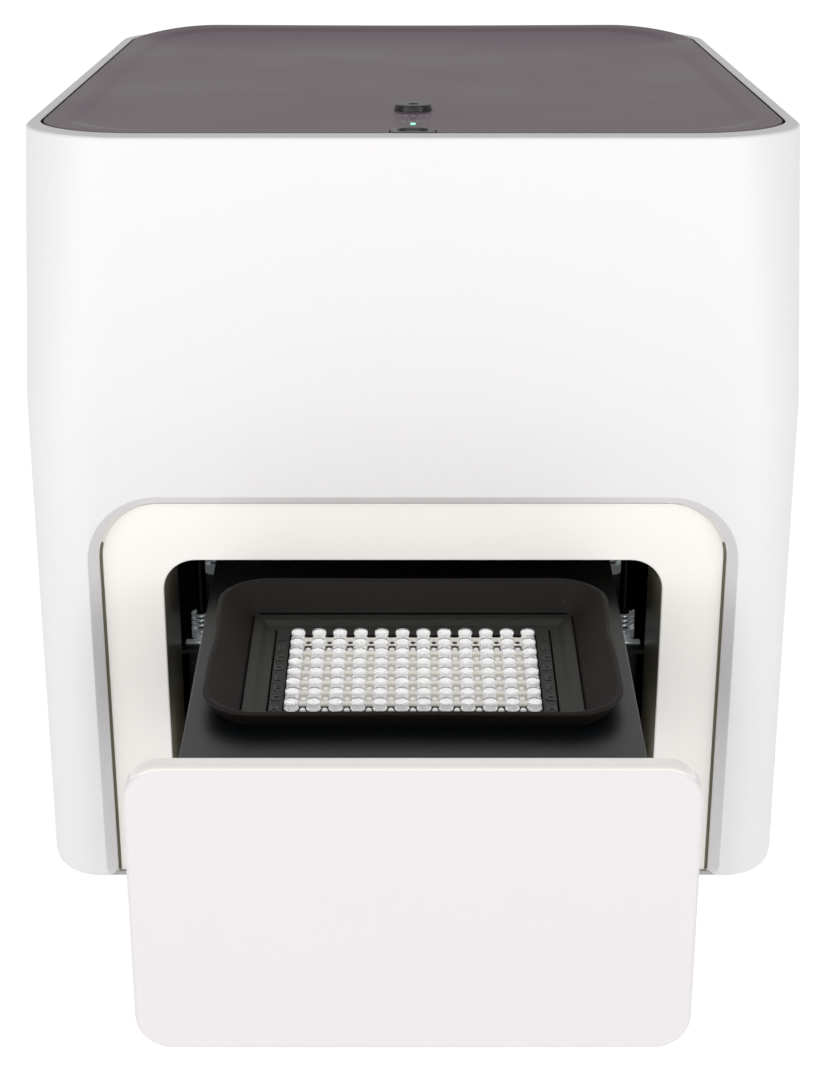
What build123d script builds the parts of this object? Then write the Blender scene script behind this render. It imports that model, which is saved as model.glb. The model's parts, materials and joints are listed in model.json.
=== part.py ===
from build123d import *
import os
from math import cos, pi, radians, sin, tan

# Real-time PCR instrument on the bench, its sample drawer fully open.
# Millimetres, +Z up, front towards -Y. Places are given from the casing's front
# face (y) and the bench (z); `front` carries them to the middle of the footprint.

# Widths build outwards from the standard well grid: frame, bezel, collar, deck,
# drawer aperture, arch and casing
well_pitch = 9.0
columns = 12
rows = 8
frame_side = 5.05
frame_end = 5.3
bezel_shelf = 10.7
collar_bank_side = 14.25
collar_bank_end = 11.0
deck_margin = 6.5
deck_room = 20.7
fascia_border = 27.7
casing_leg = 31.3

# Heights of the drawer's deck and what stands round it
deck_top = 157.2
deck_thick = 5.2
collar_rise = 8.4
bay_over = 5.4
fascia_over = 28.6

# Casing: a drum-cornered box up to a crease, then leaning in to a sloped rim
casing_depth = 448.0
casing_wall = 5.0
foot_height = 8.0
crease_height = 239.8
rim_height = 362.3
rim_slope = 6.0
rim_inset = 4.55
corner_bottom = 22.0
corner_crease = 33.0
corner_rim = 50.0
bottom_round = 8.0

# Arch in the casing's front, bevelled, and the fascia that closes it
arch_corner = 27.0
arch_bevel = 4.6
leg_round = 6.0
fascia_face = 7.0
fascia_thick = 3.0
fascia_flange = 6.0
fascia_rib = 1.5
fascia_seat = 0.8
bay_bottom = 40.0
bay_corner = 14.5
sleeve_depth = 58.0
sleeve_wall = 2.5

# Drawer
drawer_travel = 181.3
door_gap = 2.1
door_thick = 9.2
door_edge = 2.6
deck_round = 1.2
deck_front_room = 40.3
deck_lid_gap = 9.5
carriage_inset = 1.7
carriage_tail = 12.0
carriage_sheet = 2.0
carriage_floor = 54.0

# Tubes and wells
tube_top_radius = 2.9
tube_tip_radius = 1.3
tube_length = 19.0
cap_radius = 3.1
cap_thick = 1.6
cap_rise = 2.6
tube_clear = 0.35
link_width = 2.4
tube_sides = 8

# Collar, the bezel under it and the lettered frame
collar_corner = 22.0
collar_undercut = 6.0
collar_lip = 2.5
throat_corner = 7.0
collar_fit = 0.25
collar_seat = 0.3
bezel_thick = 2.4
bezel_lap = 7.0
bezel_fit = 0.6
frame_drop = 1.5
frame_thick = 2.5
frame_border = 5.6

# Sample block stack
block_thick = 21.0
block_flange = 4.0
block_foot = 6.0
block_drop = 1.0
peltier_thick = 4.0
peltier_gap = 4.0
peltier_inset = 3.0
sink_base = 8.0
sink_reach_side = 13.0
sink_reach_end = 13.0
sink_post_radius = 3.0
sink_post_inset = 5.0
fin_count = 19
fin_thick = 1.5
fin_height = 36.0
sink_fan_thick = 15.0

# Telescopic slides, one each side of the drawer
rail_length = 230.0
rail_front = 18.0
rail_middle = 75.0
rail_height = 34.0
rail_depth = 10.0
rail_sheet = 1.2
rail_clear = 0.3
rail_nest = 0.6
rail_room = 0.5

# Chassis
base_thick = 2.0
chassis_sheet = 2.0
chassis_gap = 2.0
chassis_back_gap = 6.0
shelf_top = 96.0
shelf_lap = 7.0
shelf_reach = 24.0
lightening_length = 22.0
lightening_height = 16.0
lightening_web = 10.0
lightening_count = 4
lightening_back = 113.5

# Drawer drive: rack under the carriage, pinion on a gear motor
gear_module = 1.0
pressure_angle = 20.0
pinion_teeth = 20
rack_x = 58.0
rack_width = 8.0
rack_body = 6.5
mesh_clear = 0.25
rack_start_gap = 4.0
rack_gap = 1.0
bracket_gap = 3.0
bracket_margin = 4.0
bracket_sheet = 2.0
bracket_foot = 24.0
shaft_reach = 12.0
motor_radius = 14.0
motor_length = 30.0
shaft_radius = 2.5

# Heated lid on four guide posts
post_inset = 1.5
post_span = 75.0
post_radius = 2.5
post_top = 216.0
bush_radius = 5.5
bush_length = 16.0
fit_clear = 0.05
lid_lift = 3.0
plate_length = 132.0
plate_width = 96.0
plate_thick = 14.0
carrier_thick = 6.0
carrier_width = 96.0
window_length = 112.0
window_width = 76.0
bridge_thick = 3.0
bridge_reach = 12.0
bridge_margin = 10.0
carrier_reach = 8.0
plate_corner = 4.0
plate_slot = 3.0
plate_slot_end = 2.7
lens_thick = 4.0

# Scanning optics above the lid
scan_rod_radius = 4.0
scan_rod_gap = 56.0
scan_rod_rise = 30.0
scan_block = 12.0
scan_block_inset = 10.0
scan_block_margin = 10.0
head_length = 50.0
head_width = 84.0
head_height = 34.0
head_corner = 5.0
snout_radius = 14.0
snout_gap = 2.0
spindle_radius = 3.0
filter_radius = 30.0
filter_thick = 4.0
filter_count = 6
filter_circle = 0.64
filter_window = 6.5
filter_glass_thick = 2.0

# Top panel and its controls
panel_gap = 0.5
panel_thick = 3.0
panel_border = 6.5
panel_dish = 1.4
dish_slope = 60.0
panel_drop = 0.8
rim_width = 5.0
rim_ledge = 13.5
ledge_thick = 3.0
lip_height = 3.2
lip_width = 7.0
round_button_radius = 8.3
round_button_y = 96.0
round_button_proud = 1.4
button_edge = 0.8
eject_half = 8.9
eject_near = 15.2
eject_far = 34.0
eject_rim = 2.0
button_thick = 5.0
button_gap = 0.35
button_travel = 1.0
dimple_radius = 2.0
dimple_depth = 0.6
stem_radius = 2.0
led_radius = 1.1
status_led_y = 68.5
ready_led_y = 49.5
led_height = 1.2
panel_rib = 2.5
rib_depth = 6.0
board_y = 68.0
board_width = 56.0
board_length = 100.0
board_hole_inset = 6.0
board_thick = 1.6
board_gap = 8.0
board_boss = 3.0
switch_size = 6.0
switch_height = 3.6

# Rear services
rear_border = 40.2
rear_bottom = 30.0
rear_top = 208.0
rear_lap = 8.0
rear_sheet = 1.6
vent_x = -66.0
vent_length = 90.0
vent_slot = 3.5
vent_pitch = 8.0
vent_count = 9
grille_count = 16
grille_slot = 4.0
grille_land = 1.5
exhaust_x = 62.0
exhaust_z = 140.0
exhaust_thick = 20.0
inlet_x = -92.0
inlet_z = 62.0
inlet_length = 27.0
inlet_height = 20.0
inlet_depth = 20.0
inlet_lip = 2.0
inlet_rim = 3.0
inlet_wall = 1.5
inlet_back = 3.0
pin_length = 14.0
pin_width = 2.0
pin_height = 4.0
pin_pitch = 7.0
pin_drop = 1.0
earth_rise = 3.0
switch_x = -52.0
switch_length = 13.0
switch_tall = 19.0
switch_rim = 1.5
switch_wall = 1.0
rocker_gap = 0.5
rocker_swing = 1.3
rocker_depth = 8.0
rocker_radius = 3.0
network_x = -14.0
usb_x = 14.0
port_size = 14.0
port_depth = 18.0
port_proud = 0.8
plug_length = 11.8
plug_height = 8.2
plug_key_length = 4.0
plug_key_height = 2.0
usb_length = 8.6
usb_height = 7.8
usb_tongue_length = 5.6
usb_tongue_height = 3.2
usb_depth = 14.0
fit_gap = 0.4

# Fans
fan_size = 80.0
fan_bore = 38.0
fan_strut = 3.0
fan_pin = 2.0
fan_corner = 5.0
fan_hole_inset = 4.25
fan_hole = 2.15
fan_arm = 4.0
arm_count = 3
arm_turn = 30.0
blade_end = 0.5
fan_end_gap = 1.0
hub_radius = 15.0
blade_count = 7
blade_clear = 1.0
blade_thick = 1.4
blade_twist = 22.0
running_gap = 0.3

# Power supply and main board
supply_x = -40.0
supply_y = 340.0
supply_length = 100.0
supply_width = 150.0
supply_height = 38.0
supply_slot = 4.0
supply_slot_pitch = 8.0
supply_slot_count = 10
supply_slot_inset = 12.0
supply_slot_depth = 1.2
main_board_y = 210.0
main_board_z = 53.0
main_board_length = 190.0
main_board_width = 78.0
board_stand = 6.0
stand_radius = 3.0
stand_inset = 5.0
chip_height = 3.0
processor = 28.0
socket_length = 34.0
socket_width = 8.0
coil = 18.0
chip_spread = 60.0
socket_row = 20.0
coil_row = -14.0

# Feet and the vents under the heat sink
foot_radius = 13.0
foot_inset = 34.0
foot_flare = 6.0
floor_slot_length = 90.0
floor_slot = 5.0
floor_slot_pitch = 12.0
floor_slot_count = 7

grid_length = columns * well_pitch
grid_width = rows * well_pitch
frame_length = grid_length + 2 * frame_side
frame_width = grid_width + 2 * frame_end
throat_length = frame_length + 2 * bezel_shelf
throat_width = frame_width + 2 * bezel_shelf
collar_length = throat_length + 2 * collar_bank_side
collar_width = throat_width + 2 * collar_bank_end
deck_half = collar_length / 2 + deck_margin
carriage_half = deck_half - carriage_inset
bay_half = deck_half + deck_room
arch_half = bay_half + fascia_border
casing_width = 2 * (arch_half + casing_leg)
rear_half = casing_width / 2 - rear_border
chassis_x = deck_half + rail_room + rail_depth
post_x = chassis_x + post_inset

bezel_top = deck_top - deck_thick
collar_top = deck_top + collar_rise
cap_top = bezel_top + cap_rise
frame_top = bezel_top - frame_drop
block_top = frame_top - block_drop
bay_top = collar_top + bay_over
arch_top = bay_top + fascia_over
scan_rod_z = post_top + scan_rod_rise

rear_y = casing_depth - casing_wall
sleeve_end = fascia_face + sleeve_depth
chassis_front = sleeve_end + chassis_gap
chassis_length = rear_y - inlet_depth - chassis_back_gap - chassis_front
pinion_y = sleeve_end + bracket_gap + motor_radius + bracket_margin
carriage_rear = pinion_y + carriage_tail
door_front = fascia_face - drawer_travel
front = -(casing_depth + door_front) / 2
slope = radians(rim_slope)
base_top = foot_height + base_thick
door_half = bay_half - door_gap
door_low = bay_bottom + door_gap
door_high = bay_top - door_gap
door_rear = door_front + door_thick
block_centre = door_rear + deck_front_room + collar_width / 2
closed_centre = block_centre + drawer_travel
deck_rear = closed_centre - plate_width / 2 - deck_lid_gap


def above(z):
    return Plane((0, front, z))


def before(y):
    return Plane((0, front + y, 0), x_dir=(1, 0, 0), z_dir=(0, -1, 0))


def beside(x):
    return Plane((x, front, 0), x_dir=(0, 1, 0), z_dir=(1, 0, 0))


def rim_plane(rise=0.0):
    lift = Vector(0, sin(slope), cos(slope))
    start = Vector(0, front + rim_inset, rim_height) + lift * rise
    return Plane(start, x_dir=(1, 0, 0), z_dir=lift)


rim_length = (casing_depth - 2 * rim_inset) / cos(slope)
rim_half = casing_width / 2 - rim_inset


def casing_form(inset):
    width = casing_width - 2 * inset
    depth = casing_depth - 2 * inset
    with BuildPart() as form:
        with BuildSketch(above(foot_height)):
            with Locations((0, casing_depth / 2)):
                RectangleRounded(width, depth, corner_bottom - inset)
        with BuildSketch(above(crease_height)):
            with Locations((0, casing_depth / 2)):
                RectangleRounded(width, depth, corner_crease - inset)
        loft(ruled=True)
        with BuildSketch(above(crease_height)):
            with Locations((0, casing_depth / 2)):
                RectangleRounded(width, depth, corner_crease - inset)
        with BuildSketch(rim_plane()):
            with Locations((0, rim_length / 2)):
                RectangleRounded(2 * (rim_half - inset), rim_length - 2 * inset, corner_rim - inset)
        loft(ruled=True)
        if inset == 0:
            fillet(form.edges().group_by(Axis.Z)[0], bottom_round)
    return form.part


def arch(margin, low=0.0):
    with BuildSketch(mode=Mode.PRIVATE) as outline:
        RectangleRounded(2 * (arch_half + margin), 2 * (arch_top + margin), arch_corner + margin)
        with Locations((0, low)):
            Rectangle(2 * casing_width, 2 * casing_depth, align=(Align.CENTER, Align.MAX), mode=Mode.SUBTRACT)
    return outline.sketch


def arch_mouth(margin):
    """The arch as the casing has it, its legs rounded where they meet the bottom edge."""
    turn = leg_round - margin
    foot_half = arch_half + leg_round
    foot_top = foot_height + leg_round
    with BuildSketch(mode=Mode.PRIVATE) as outline:
        add(arch(margin))
        with Locations((0, foot_top)):
            Rectangle(2 * foot_half, foot_top, align=(Align.CENTER, Align.MAX))
        with Locations((-foot_half, foot_top), (foot_half, foot_top)):
            Circle(turn, mode=Mode.SUBTRACT)
    return outline.sketch


opening_half = rim_half - rim_width
opening_start = rim_ledge
opening_end = rim_length - rim_width
opening_y = (opening_start + opening_end) / 2


def panel_outline(inset):
    """Rounded outline on the rim plane, measured in from the casing's top opening."""
    with BuildSketch(mode=Mode.PRIVATE) as outline:
        with Locations((0, opening_y)):
            across = 2 * (opening_half - inset)
            along = opening_end - opening_start - 2 * inset
            RectangleRounded(across, along, corner_rim - rim_width - inset)
    return outline.sketch


eject_y = (eject_near + eject_far) / 2


def eject_outline(inset):
    """Drawer button on the rim plane: straight towards the front, one arc behind."""
    half = eject_half - inset
    arc_y = eject_far - eject_half
    with BuildSketch(mode=Mode.PRIVATE) as outline:
        with Locations((0, arc_y)):
            Circle(half)
            Rectangle(2 * half, arc_y - eject_near - inset, align=(Align.CENTER, Align.MAX))
        with Locations((0, eject_near + inset)):
            Rectangle(2 * eject_far, eject_far, align=(Align.CENTER, Align.MAX), mode=Mode.SUBTRACT)
    return outline.sketch


casing_outside = casing_form(0)
casing_inside = casing_form(casing_wall)

with BuildPart() as outer_housing:
    add(casing_outside)
    add(casing_inside, mode=Mode.SUBTRACT)
    with BuildSketch(rim_plane()):
        with Locations((0, rim_length / 2)):
            RectangleRounded(2 * rim_half - rim_width, rim_length - rim_width, corner_rim - rim_width / 2)
        add(panel_outline(0), mode=Mode.SUBTRACT)
    extrude(amount=-ledge_thick)
    with BuildSketch(before(0)):
        add(arch_mouth(0))
    extrude(amount=-2 * casing_wall, mode=Mode.SUBTRACT)
    with BuildSketch(before(0)):
        add(arch_mouth(arch_bevel))
    with BuildSketch(before(arch_bevel)):
        add(arch_mouth(0))
    loft(ruled=True, mode=Mode.SUBTRACT)
    with BuildSketch(before(casing_depth)):
        with Locations((0, (rear_bottom + rear_top) / 2)):
            RectangleRounded(2 * rear_half, rear_top - rear_bottom, rear_lap)
    extrude(amount=2 * casing_wall, mode=Mode.SUBTRACT)

with BuildPart() as front_fascia:
    bay_height = bay_top - bay_bottom
    bay_middle = (bay_top + bay_bottom) / 2
    with BuildSketch(before(fascia_face)):
        add(arch(fascia_flange, base_top))
    extrude(amount=-fascia_thick)
    with BuildSketch(before(fascia_face)):
        add(arch(fascia_flange, base_top))
        add(arch(fascia_rib, foot_height), mode=Mode.SUBTRACT)
    extrude(amount=fascia_face - casing_wall - fascia_seat)
    with BuildSketch(before(fascia_face)):
        with Locations((0, bay_middle)):
            sleeve_half = bay_half + sleeve_wall
            RectangleRounded(2 * sleeve_half, bay_height + 2 * sleeve_wall, bay_corner + sleeve_wall)
    extrude(amount=-sleeve_depth)
    with BuildSketch(before(fascia_face)):
        with Locations((0, bay_middle)):
            RectangleRounded(2 * bay_half, bay_height, bay_corner)
    extrude(amount=-sleeve_depth, mode=Mode.SUBTRACT)

with BuildPart() as base_plate:
    with BuildSketch(above(foot_height)):
        with Locations((0, casing_depth / 2)):
            reach = casing_wall + panel_gap
            RectangleRounded(casing_width - 2 * reach, casing_depth - 2 * reach, corner_bottom - reach)
        with Locations((0, closed_centre)):
            with GridLocations(0, floor_slot_pitch, 1, floor_slot_count):
                SlotOverall(floor_slot_length, floor_slot, mode=Mode.SUBTRACT)
    extrude(amount=base_thick)

with BuildPart() as feet:
    with BuildSketch(above(0)):
        with Locations((0, casing_depth / 2)):
            with GridLocations(casing_width - 2 * foot_inset, casing_depth - 2 * foot_inset, 2, 2):
                Circle(foot_radius)
    extrude(amount=foot_height, taper=-foot_flare)

with BuildPart() as top_panel:
    with BuildSketch(rim_plane(-panel_drop)):
        add(panel_outline(panel_gap))
    extrude(amount=-panel_thick)
    with BuildSketch(rim_plane(-panel_drop)):
        add(panel_outline(panel_gap + panel_border))
    extrude(amount=-panel_dish, taper=dish_slope, mode=Mode.SUBTRACT)
    with BuildSketch(rim_plane(-panel_drop)):
        with Locations((0, opening_end - panel_gap)):
            Rectangle(2 * (opening_half - corner_rim), lip_width, align=(Align.CENTER, Align.MAX))
    extrude(amount=lip_height)
    fillet(top_panel.edges().filter_by(Axis.X).group_by(Axis.Z)[-1], lip_height / 2)
    with BuildSketch(rim_plane(-panel_drop - panel_thick)):
        with Locations((0, board_y)):
            with GridLocations(board_width - 2 * board_hole_inset, board_length - 2 * board_hole_inset, 2, 2):
                Circle(board_boss)
    extrude(amount=-board_gap)
    with BuildSketch(rim_plane(-panel_drop - panel_thick)):
        add(panel_outline(panel_gap))
        add(panel_outline(panel_gap + panel_rib), mode=Mode.SUBTRACT)
    extrude(amount=rib_depth, dir=(0, 0, -1))
    with BuildSketch(rim_plane(-panel_drop)):
        with Locations((0, round_button_y)):
            Circle(round_button_radius + button_gap)
        with Locations((0, status_led_y), (0, ready_led_y)):
            Circle(led_radius + fit_clear)
        add(eject_outline(-button_gap))
    extrude(amount=-panel_thick - rib_depth, mode=Mode.SUBTRACT)

board_drop = panel_drop + panel_thick + board_gap
stem_end = board_drop - switch_height - button_travel - button_gap

with BuildPart() as power_button:
    with BuildSketch(rim_plane(round_button_proud)):
        with Locations((0, round_button_y)):
            Circle(round_button_radius)
    extrude(amount=-button_thick)
    fillet(power_button.edges().filter_by(GeomType.CIRCLE).group_by(Axis.Z)[-1], button_edge)
    with BuildSketch(rim_plane(round_button_proud)):
        with Locations((0, round_button_y)):
            Circle(dimple_radius)
    extrude(amount=-dimple_depth, mode=Mode.SUBTRACT)
    with BuildSketch(rim_plane(-stem_end)):
        with Locations((0, round_button_y)):
            Circle(stem_radius)
    extrude(amount=stem_end + round_button_proud - button_thick)

with BuildPart() as eject_button:
    with BuildSketch(rim_plane(0)):
        add(eject_outline(0))
    extrude(amount=-button_thick)
    with BuildSketch(rim_plane(0)):
        add(eject_outline(eject_rim))
    extrude(amount=-dimple_depth, mode=Mode.SUBTRACT)
    with BuildSketch(rim_plane(-stem_end)):
        with Locations((0, eject_y)):
            Circle(stem_radius)
    extrude(amount=stem_end - button_thick)

with BuildPart() as status_lights:
    with BuildSketch(rim_plane(-panel_drop)):
        with Locations((0, status_led_y), (0, ready_led_y)):
            Circle(led_radius)
    extrude(amount=-(board_drop - panel_drop - led_height))

with BuildPart() as button_board:
    with BuildSketch(rim_plane(-board_drop)):
        with Locations((0, board_y)):
            Rectangle(board_width, board_length)
    extrude(amount=-board_thick)
    with BuildSketch(rim_plane(-board_drop)):
        with Locations((0, status_led_y), (0, ready_led_y)):
            Rectangle(2 * led_height, 2 * led_height)
    extrude(amount=led_height)
    with BuildSketch(rim_plane(-board_drop)):
        with Locations((0, round_button_y), (0, eject_y)):
            Rectangle(switch_size, switch_size)
    extrude(amount=switch_height)

with BuildPart() as rear_panel:
    with BuildSketch(before(rear_y)):
        with Locations((0, (rear_bottom + rear_top) / 2)):
            RectangleRounded(2 * (rear_half + rear_lap), rear_top - rear_bottom + 2 * rear_lap, rear_lap)
        with Locations((vent_x, exhaust_z)):
            with GridLocations(0, vent_pitch, 1, vent_count):
                Rectangle(vent_length, vent_slot, mode=Mode.SUBTRACT)
        with Locations((exhaust_x, exhaust_z)):
            with PolarLocations((fan_bore + hub_radius) / 2, grille_count):
                Rectangle(fan_bore - hub_radius - 2 * grille_land, grille_slot, mode=Mode.SUBTRACT)
        with Locations((inlet_x, inlet_z)):
            Rectangle(inlet_length + fit_gap, inlet_height + fit_gap, mode=Mode.SUBTRACT)
        with Locations((switch_x, inlet_z)):
            Rectangle(switch_length + fit_gap, switch_tall + fit_gap, mode=Mode.SUBTRACT)
        with Locations((network_x, inlet_z), (usb_x, inlet_z)):
            Rectangle(port_size + fit_gap, port_size + fit_gap, mode=Mode.SUBTRACT)
    extrude(amount=rear_sheet)

fan_y = rear_y - rear_sheet

with BuildPart() as exhaust_fan_frame:
    with BuildSketch(before(fan_y)):
        with Locations((exhaust_x, exhaust_z)):
            RectangleRounded(fan_size, fan_size, fan_corner)
            Circle(fan_bore, mode=Mode.SUBTRACT)
            with GridLocations(fan_size - 2 * fan_hole_inset, fan_size - 2 * fan_hole_inset, 2, 2):
                Circle(fan_hole, mode=Mode.SUBTRACT)
    extrude(amount=exhaust_thick)
    with BuildSketch(before(fan_y)):
        with Locations((exhaust_x, exhaust_z)):
            Circle(hub_radius)
            with PolarLocations(0, arm_count, start_angle=arm_turn):
                Rectangle(fan_bore + fan_end_gap, fan_arm, align=(Align.MIN, Align.CENTER))
    extrude(amount=fan_strut)
    with BuildSketch(before(fan_y - fan_strut)):
        with Locations((exhaust_x, exhaust_z)):
            Circle(fan_pin)
    extrude(amount=exhaust_thick - fan_strut - fan_end_gap)


def fan_rotor(plane, x, y, thick):
    """Hub with twisted blades around the motor pin; the plane lies on the hub's strut side."""
    depth = thick - fan_strut - 2 * running_gap
    with BuildPart() as rotor:
        base = plane.offset(fan_strut + running_gap)
        with BuildSketch(base):
            with Locations((x, y)):
                Circle(hub_radius)
                Circle(fan_pin + fit_clear, mode=Mode.SUBTRACT)
        extrude(amount=depth)
        for turn in range(blade_count):
            angle = turn * 360 / blade_count
            blade_span = fan_bore - blade_clear - hub_radius + 1
            for height, twist in ((blade_end, -blade_twist), (depth - blade_end, blade_twist)):
                with BuildSketch(base.offset(height)):
                    with Locations(Location((x, y), angle + twist)):
                        with Locations((hub_radius - 1, 0)):
                            Rectangle(blade_span, blade_thick, align=(Align.MIN, Align.CENTER))
            loft(ruled=True)
    return rotor


exhaust_fan_rotor = fan_rotor(before(fan_y), exhaust_x, exhaust_z, exhaust_thick)

with BuildPart() as power_inlet:
    with BuildSketch(before(rear_y)):
        with Locations((inlet_x, inlet_z)):
            RectangleRounded(inlet_length + 2 * inlet_rim, inlet_height + 2 * inlet_rim, inlet_rim)
    extrude(amount=-inlet_lip)
    with BuildSketch(before(rear_y)):
        with Locations((inlet_x, inlet_z)):
            Rectangle(inlet_length, inlet_height)
    extrude(amount=inlet_depth)
    with BuildSketch(before(rear_y + inlet_lip)):
        with Locations((inlet_x, inlet_z)):
            RectangleRounded(inlet_length - 2 * inlet_wall, inlet_height - 2 * inlet_wall, inlet_wall)
    extrude(amount=inlet_depth + inlet_lip - inlet_back, mode=Mode.SUBTRACT)

with BuildPart() as inlet_pins:
    with BuildSketch(before(rear_y - inlet_depth + inlet_back)):
        with Locations((inlet_x, inlet_z - pin_drop)):
            with GridLocations(2 * pin_pitch, 0, 2, 1):
                Rectangle(pin_width, pin_height)
        with Locations((inlet_x, inlet_z + earth_rise)):
            Rectangle(pin_width, pin_height)
    extrude(amount=-pin_length)

with BuildPart() as power_switch:
    with BuildSketch(before(rear_y)):
        with Locations((switch_x, inlet_z)):
            RectangleRounded(switch_length + 2 * switch_rim, switch_tall + 2 * switch_rim, switch_rim)
    extrude(amount=-inlet_lip)
    with BuildSketch(before(rear_y)):
        with Locations((switch_x, inlet_z)):
            Rectangle(switch_length, switch_tall)
    extrude(amount=inlet_depth - inlet_lip)
    with BuildSketch(before(rear_y + inlet_lip)):
        with Locations((switch_x, inlet_z)):
            Rectangle(switch_length - 2 * switch_wall, switch_tall - 2 * switch_wall)
    extrude(amount=rocker_depth, mode=Mode.SUBTRACT)

rocker_y = rear_y + inlet_lip - rocker_depth + rocker_radius + running_gap

with BuildPart() as power_rocker:
    with BuildSketch(beside(switch_x)):
        with Locations((rocker_y, inlet_z)):
            Circle(rocker_radius)
            rocker_tall = switch_tall - 2 * switch_wall - 2 * rocker_swing
            Rectangle(rocker_depth, rocker_tall, align=(Align.MIN, Align.CENTER))
    extrude(amount=switch_length / 2 - switch_wall - rocker_gap, both=True)

with BuildPart() as network_port:
    with BuildSketch(before(rear_y + port_proud)):
        with Locations((network_x, inlet_z)):
            Rectangle(port_size, port_size)
    extrude(amount=port_depth)
    with BuildSketch(before(rear_y + port_proud)):
        with Locations((network_x, inlet_z)):
            Rectangle(plug_length, plug_height)
            with Locations((0, -(plug_height + plug_key_height) / 2)):
                Rectangle(plug_key_length, plug_key_height)
    extrude(amount=port_depth - inlet_back, mode=Mode.SUBTRACT)

with BuildPart() as usb_port:
    with BuildSketch(before(rear_y + port_proud)):
        with Locations((usb_x, inlet_z)):
            Rectangle(port_size, port_size)
    extrude(amount=port_depth)
    with BuildSketch(before(rear_y + port_proud)):
        with Locations((usb_x, inlet_z)):
            Rectangle(usb_length, usb_height)
            Rectangle(usb_tongue_length, usb_tongue_height, mode=Mode.SUBTRACT)
    extrude(amount=usb_depth, mode=Mode.SUBTRACT)


root_share = 0.34
tip_share = 0.13
dedendum = 1.25


def gear_outline(teeth, module, radius_gap):
    """Straight-flanked spur teeth, near enough to involutes at this size."""
    pitch_radius = teeth * module / 2
    root = pitch_radius - dedendum * module
    tip = pitch_radius + module - radius_gap
    step = 2 * pi / teeth
    points = []
    for tooth in range(teeth):
        middle = tooth * step
        flanks = ((root, -root_share), (tip, -tip_share), (tip, tip_share), (root, root_share))
        for radius, share in flanks:
            angle = middle + share * step
            points.append((radius * cos(angle), radius * sin(angle)))
    return points


def rail_section(level, closed_side):
    """One nested channel of the slide; level 0 is screwed to the chassis."""
    half = rail_height / 2 - level * (rail_sheet + rail_clear)
    outside = chassis_x - level * (rail_sheet + rail_clear)
    inside = chassis_x - rail_depth - level * rail_nest
    with BuildSketch(mode=Mode.PRIVATE) as section:
        with Locations(((outside + inside) / 2, rail_middle)):
            Rectangle(outside - inside, 2 * half)
            with Locations((-closed_side * rail_sheet / 2, 0)):
                Rectangle(outside - inside - rail_sheet, 2 * (half - rail_sheet), mode=Mode.SUBTRACT)
    return section.sketch


slide_parts = {}
for level, name, start, closed_side in (
    (0, "slide_outer", rail_front, 1),
    (1, "slide_middle", rail_front - drawer_travel / 2, 1),
    (2, "slide_inner", rail_front - drawer_travel, -1),
):
    with BuildPart() as slide:
        with BuildSketch(before(start)):
            add(rail_section(level, closed_side))
        extrude(amount=-rail_length)
        mirror(about=Plane.YZ)
    slide_parts[name] = slide

shelf_in = chassis_x - shelf_lap
shelf_out = chassis_x + shelf_reach

with BuildPart() as chassis_sides:
    with BuildSketch(before(chassis_front)):
        with Locations((chassis_x, base_top)):
            Rectangle(chassis_sheet, shelf_top - base_top, align=(Align.MIN, Align.MIN))
            Rectangle(shelf_out - chassis_x, chassis_sheet, align=(Align.MIN, Align.MIN))
        with Locations((shelf_in, shelf_top)):
            Rectangle(shelf_out - shelf_in, chassis_sheet, align=(Align.MIN, Align.MAX))
    extrude(amount=-chassis_length)
    with BuildSketch(beside(chassis_x)):
        with Locations((rear_y - lightening_back, rail_middle)):
            across = lightening_length + lightening_web
            upright = lightening_height + lightening_web
            with GridLocations(across, upright, lightening_count, 2):
                Rectangle(lightening_length, lightening_height)
    extrude(amount=chassis_sheet, mode=Mode.SUBTRACT)
    mirror(about=Plane.YZ)

post_places = [
    (side * post_x, closed_centre + end * post_span / 2) for side in (-1, 1) for end in (-1, 1)
]
plate_up = collar_top + lid_lift
carrier_low = plate_up + plate_thick
bridge_low = post_top - bridge_thick

with BuildPart() as guide_posts:
    with BuildSketch(above(shelf_top)):
        with Locations(*post_places):
            Circle(post_radius)
    extrude(amount=post_top - shelf_top)
    with BuildSketch(above(shelf_top)):
        with Locations(*post_places):
            Circle(2 * post_radius)
    extrude(amount=2 * post_radius)

with BuildPart() as lid_bridge:
    with BuildSketch(above(bridge_low)):
        with Locations((0, closed_centre)):
            bridge_width = carrier_width + 2 * bridge_margin
            RectangleRounded(2 * (post_x + bridge_reach), bridge_width, carrier_reach)
            Rectangle(window_length, window_width, mode=Mode.SUBTRACT)
        with Locations(*post_places):
            Circle(post_radius + fit_clear, mode=Mode.SUBTRACT)
    extrude(amount=bridge_thick)

with BuildPart() as lid_carrier:
    with BuildSketch(above(carrier_low)):
        with Locations((0, closed_centre)):
            RectangleRounded(2 * (post_x + carrier_reach), carrier_width, carrier_reach)
            Rectangle(window_length, window_width, mode=Mode.SUBTRACT)
    extrude(amount=carrier_thick)
    with BuildSketch(above(carrier_low + carrier_thick)):
        with Locations(*post_places):
            Circle(bush_radius)
    extrude(amount=-bush_length)
    with BuildSketch(above(carrier_low + carrier_thick)):
        with Locations(*post_places):
            Circle(post_radius + fit_clear)
    extrude(amount=-bush_length, mode=Mode.SUBTRACT)

with BuildPart() as heated_plate:
    with BuildSketch(above(plate_up)):
        with Locations((0, closed_centre)):
            RectangleRounded(plate_length, plate_width, plate_corner)
            with GridLocations(well_pitch, 0, columns, 1):
                Rectangle(plate_slot, grid_width - 2 * plate_slot_end, mode=Mode.SUBTRACT)
    extrude(amount=plate_thick)

with BuildPart() as lid_lens:
    with BuildSketch(above(carrier_low)):
        with Locations((0, closed_centre)):
            Rectangle(window_length - fit_gap, window_width - fit_gap)
    extrude(amount=lens_thick)

rod_end = post_x - scan_block_inset

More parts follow.
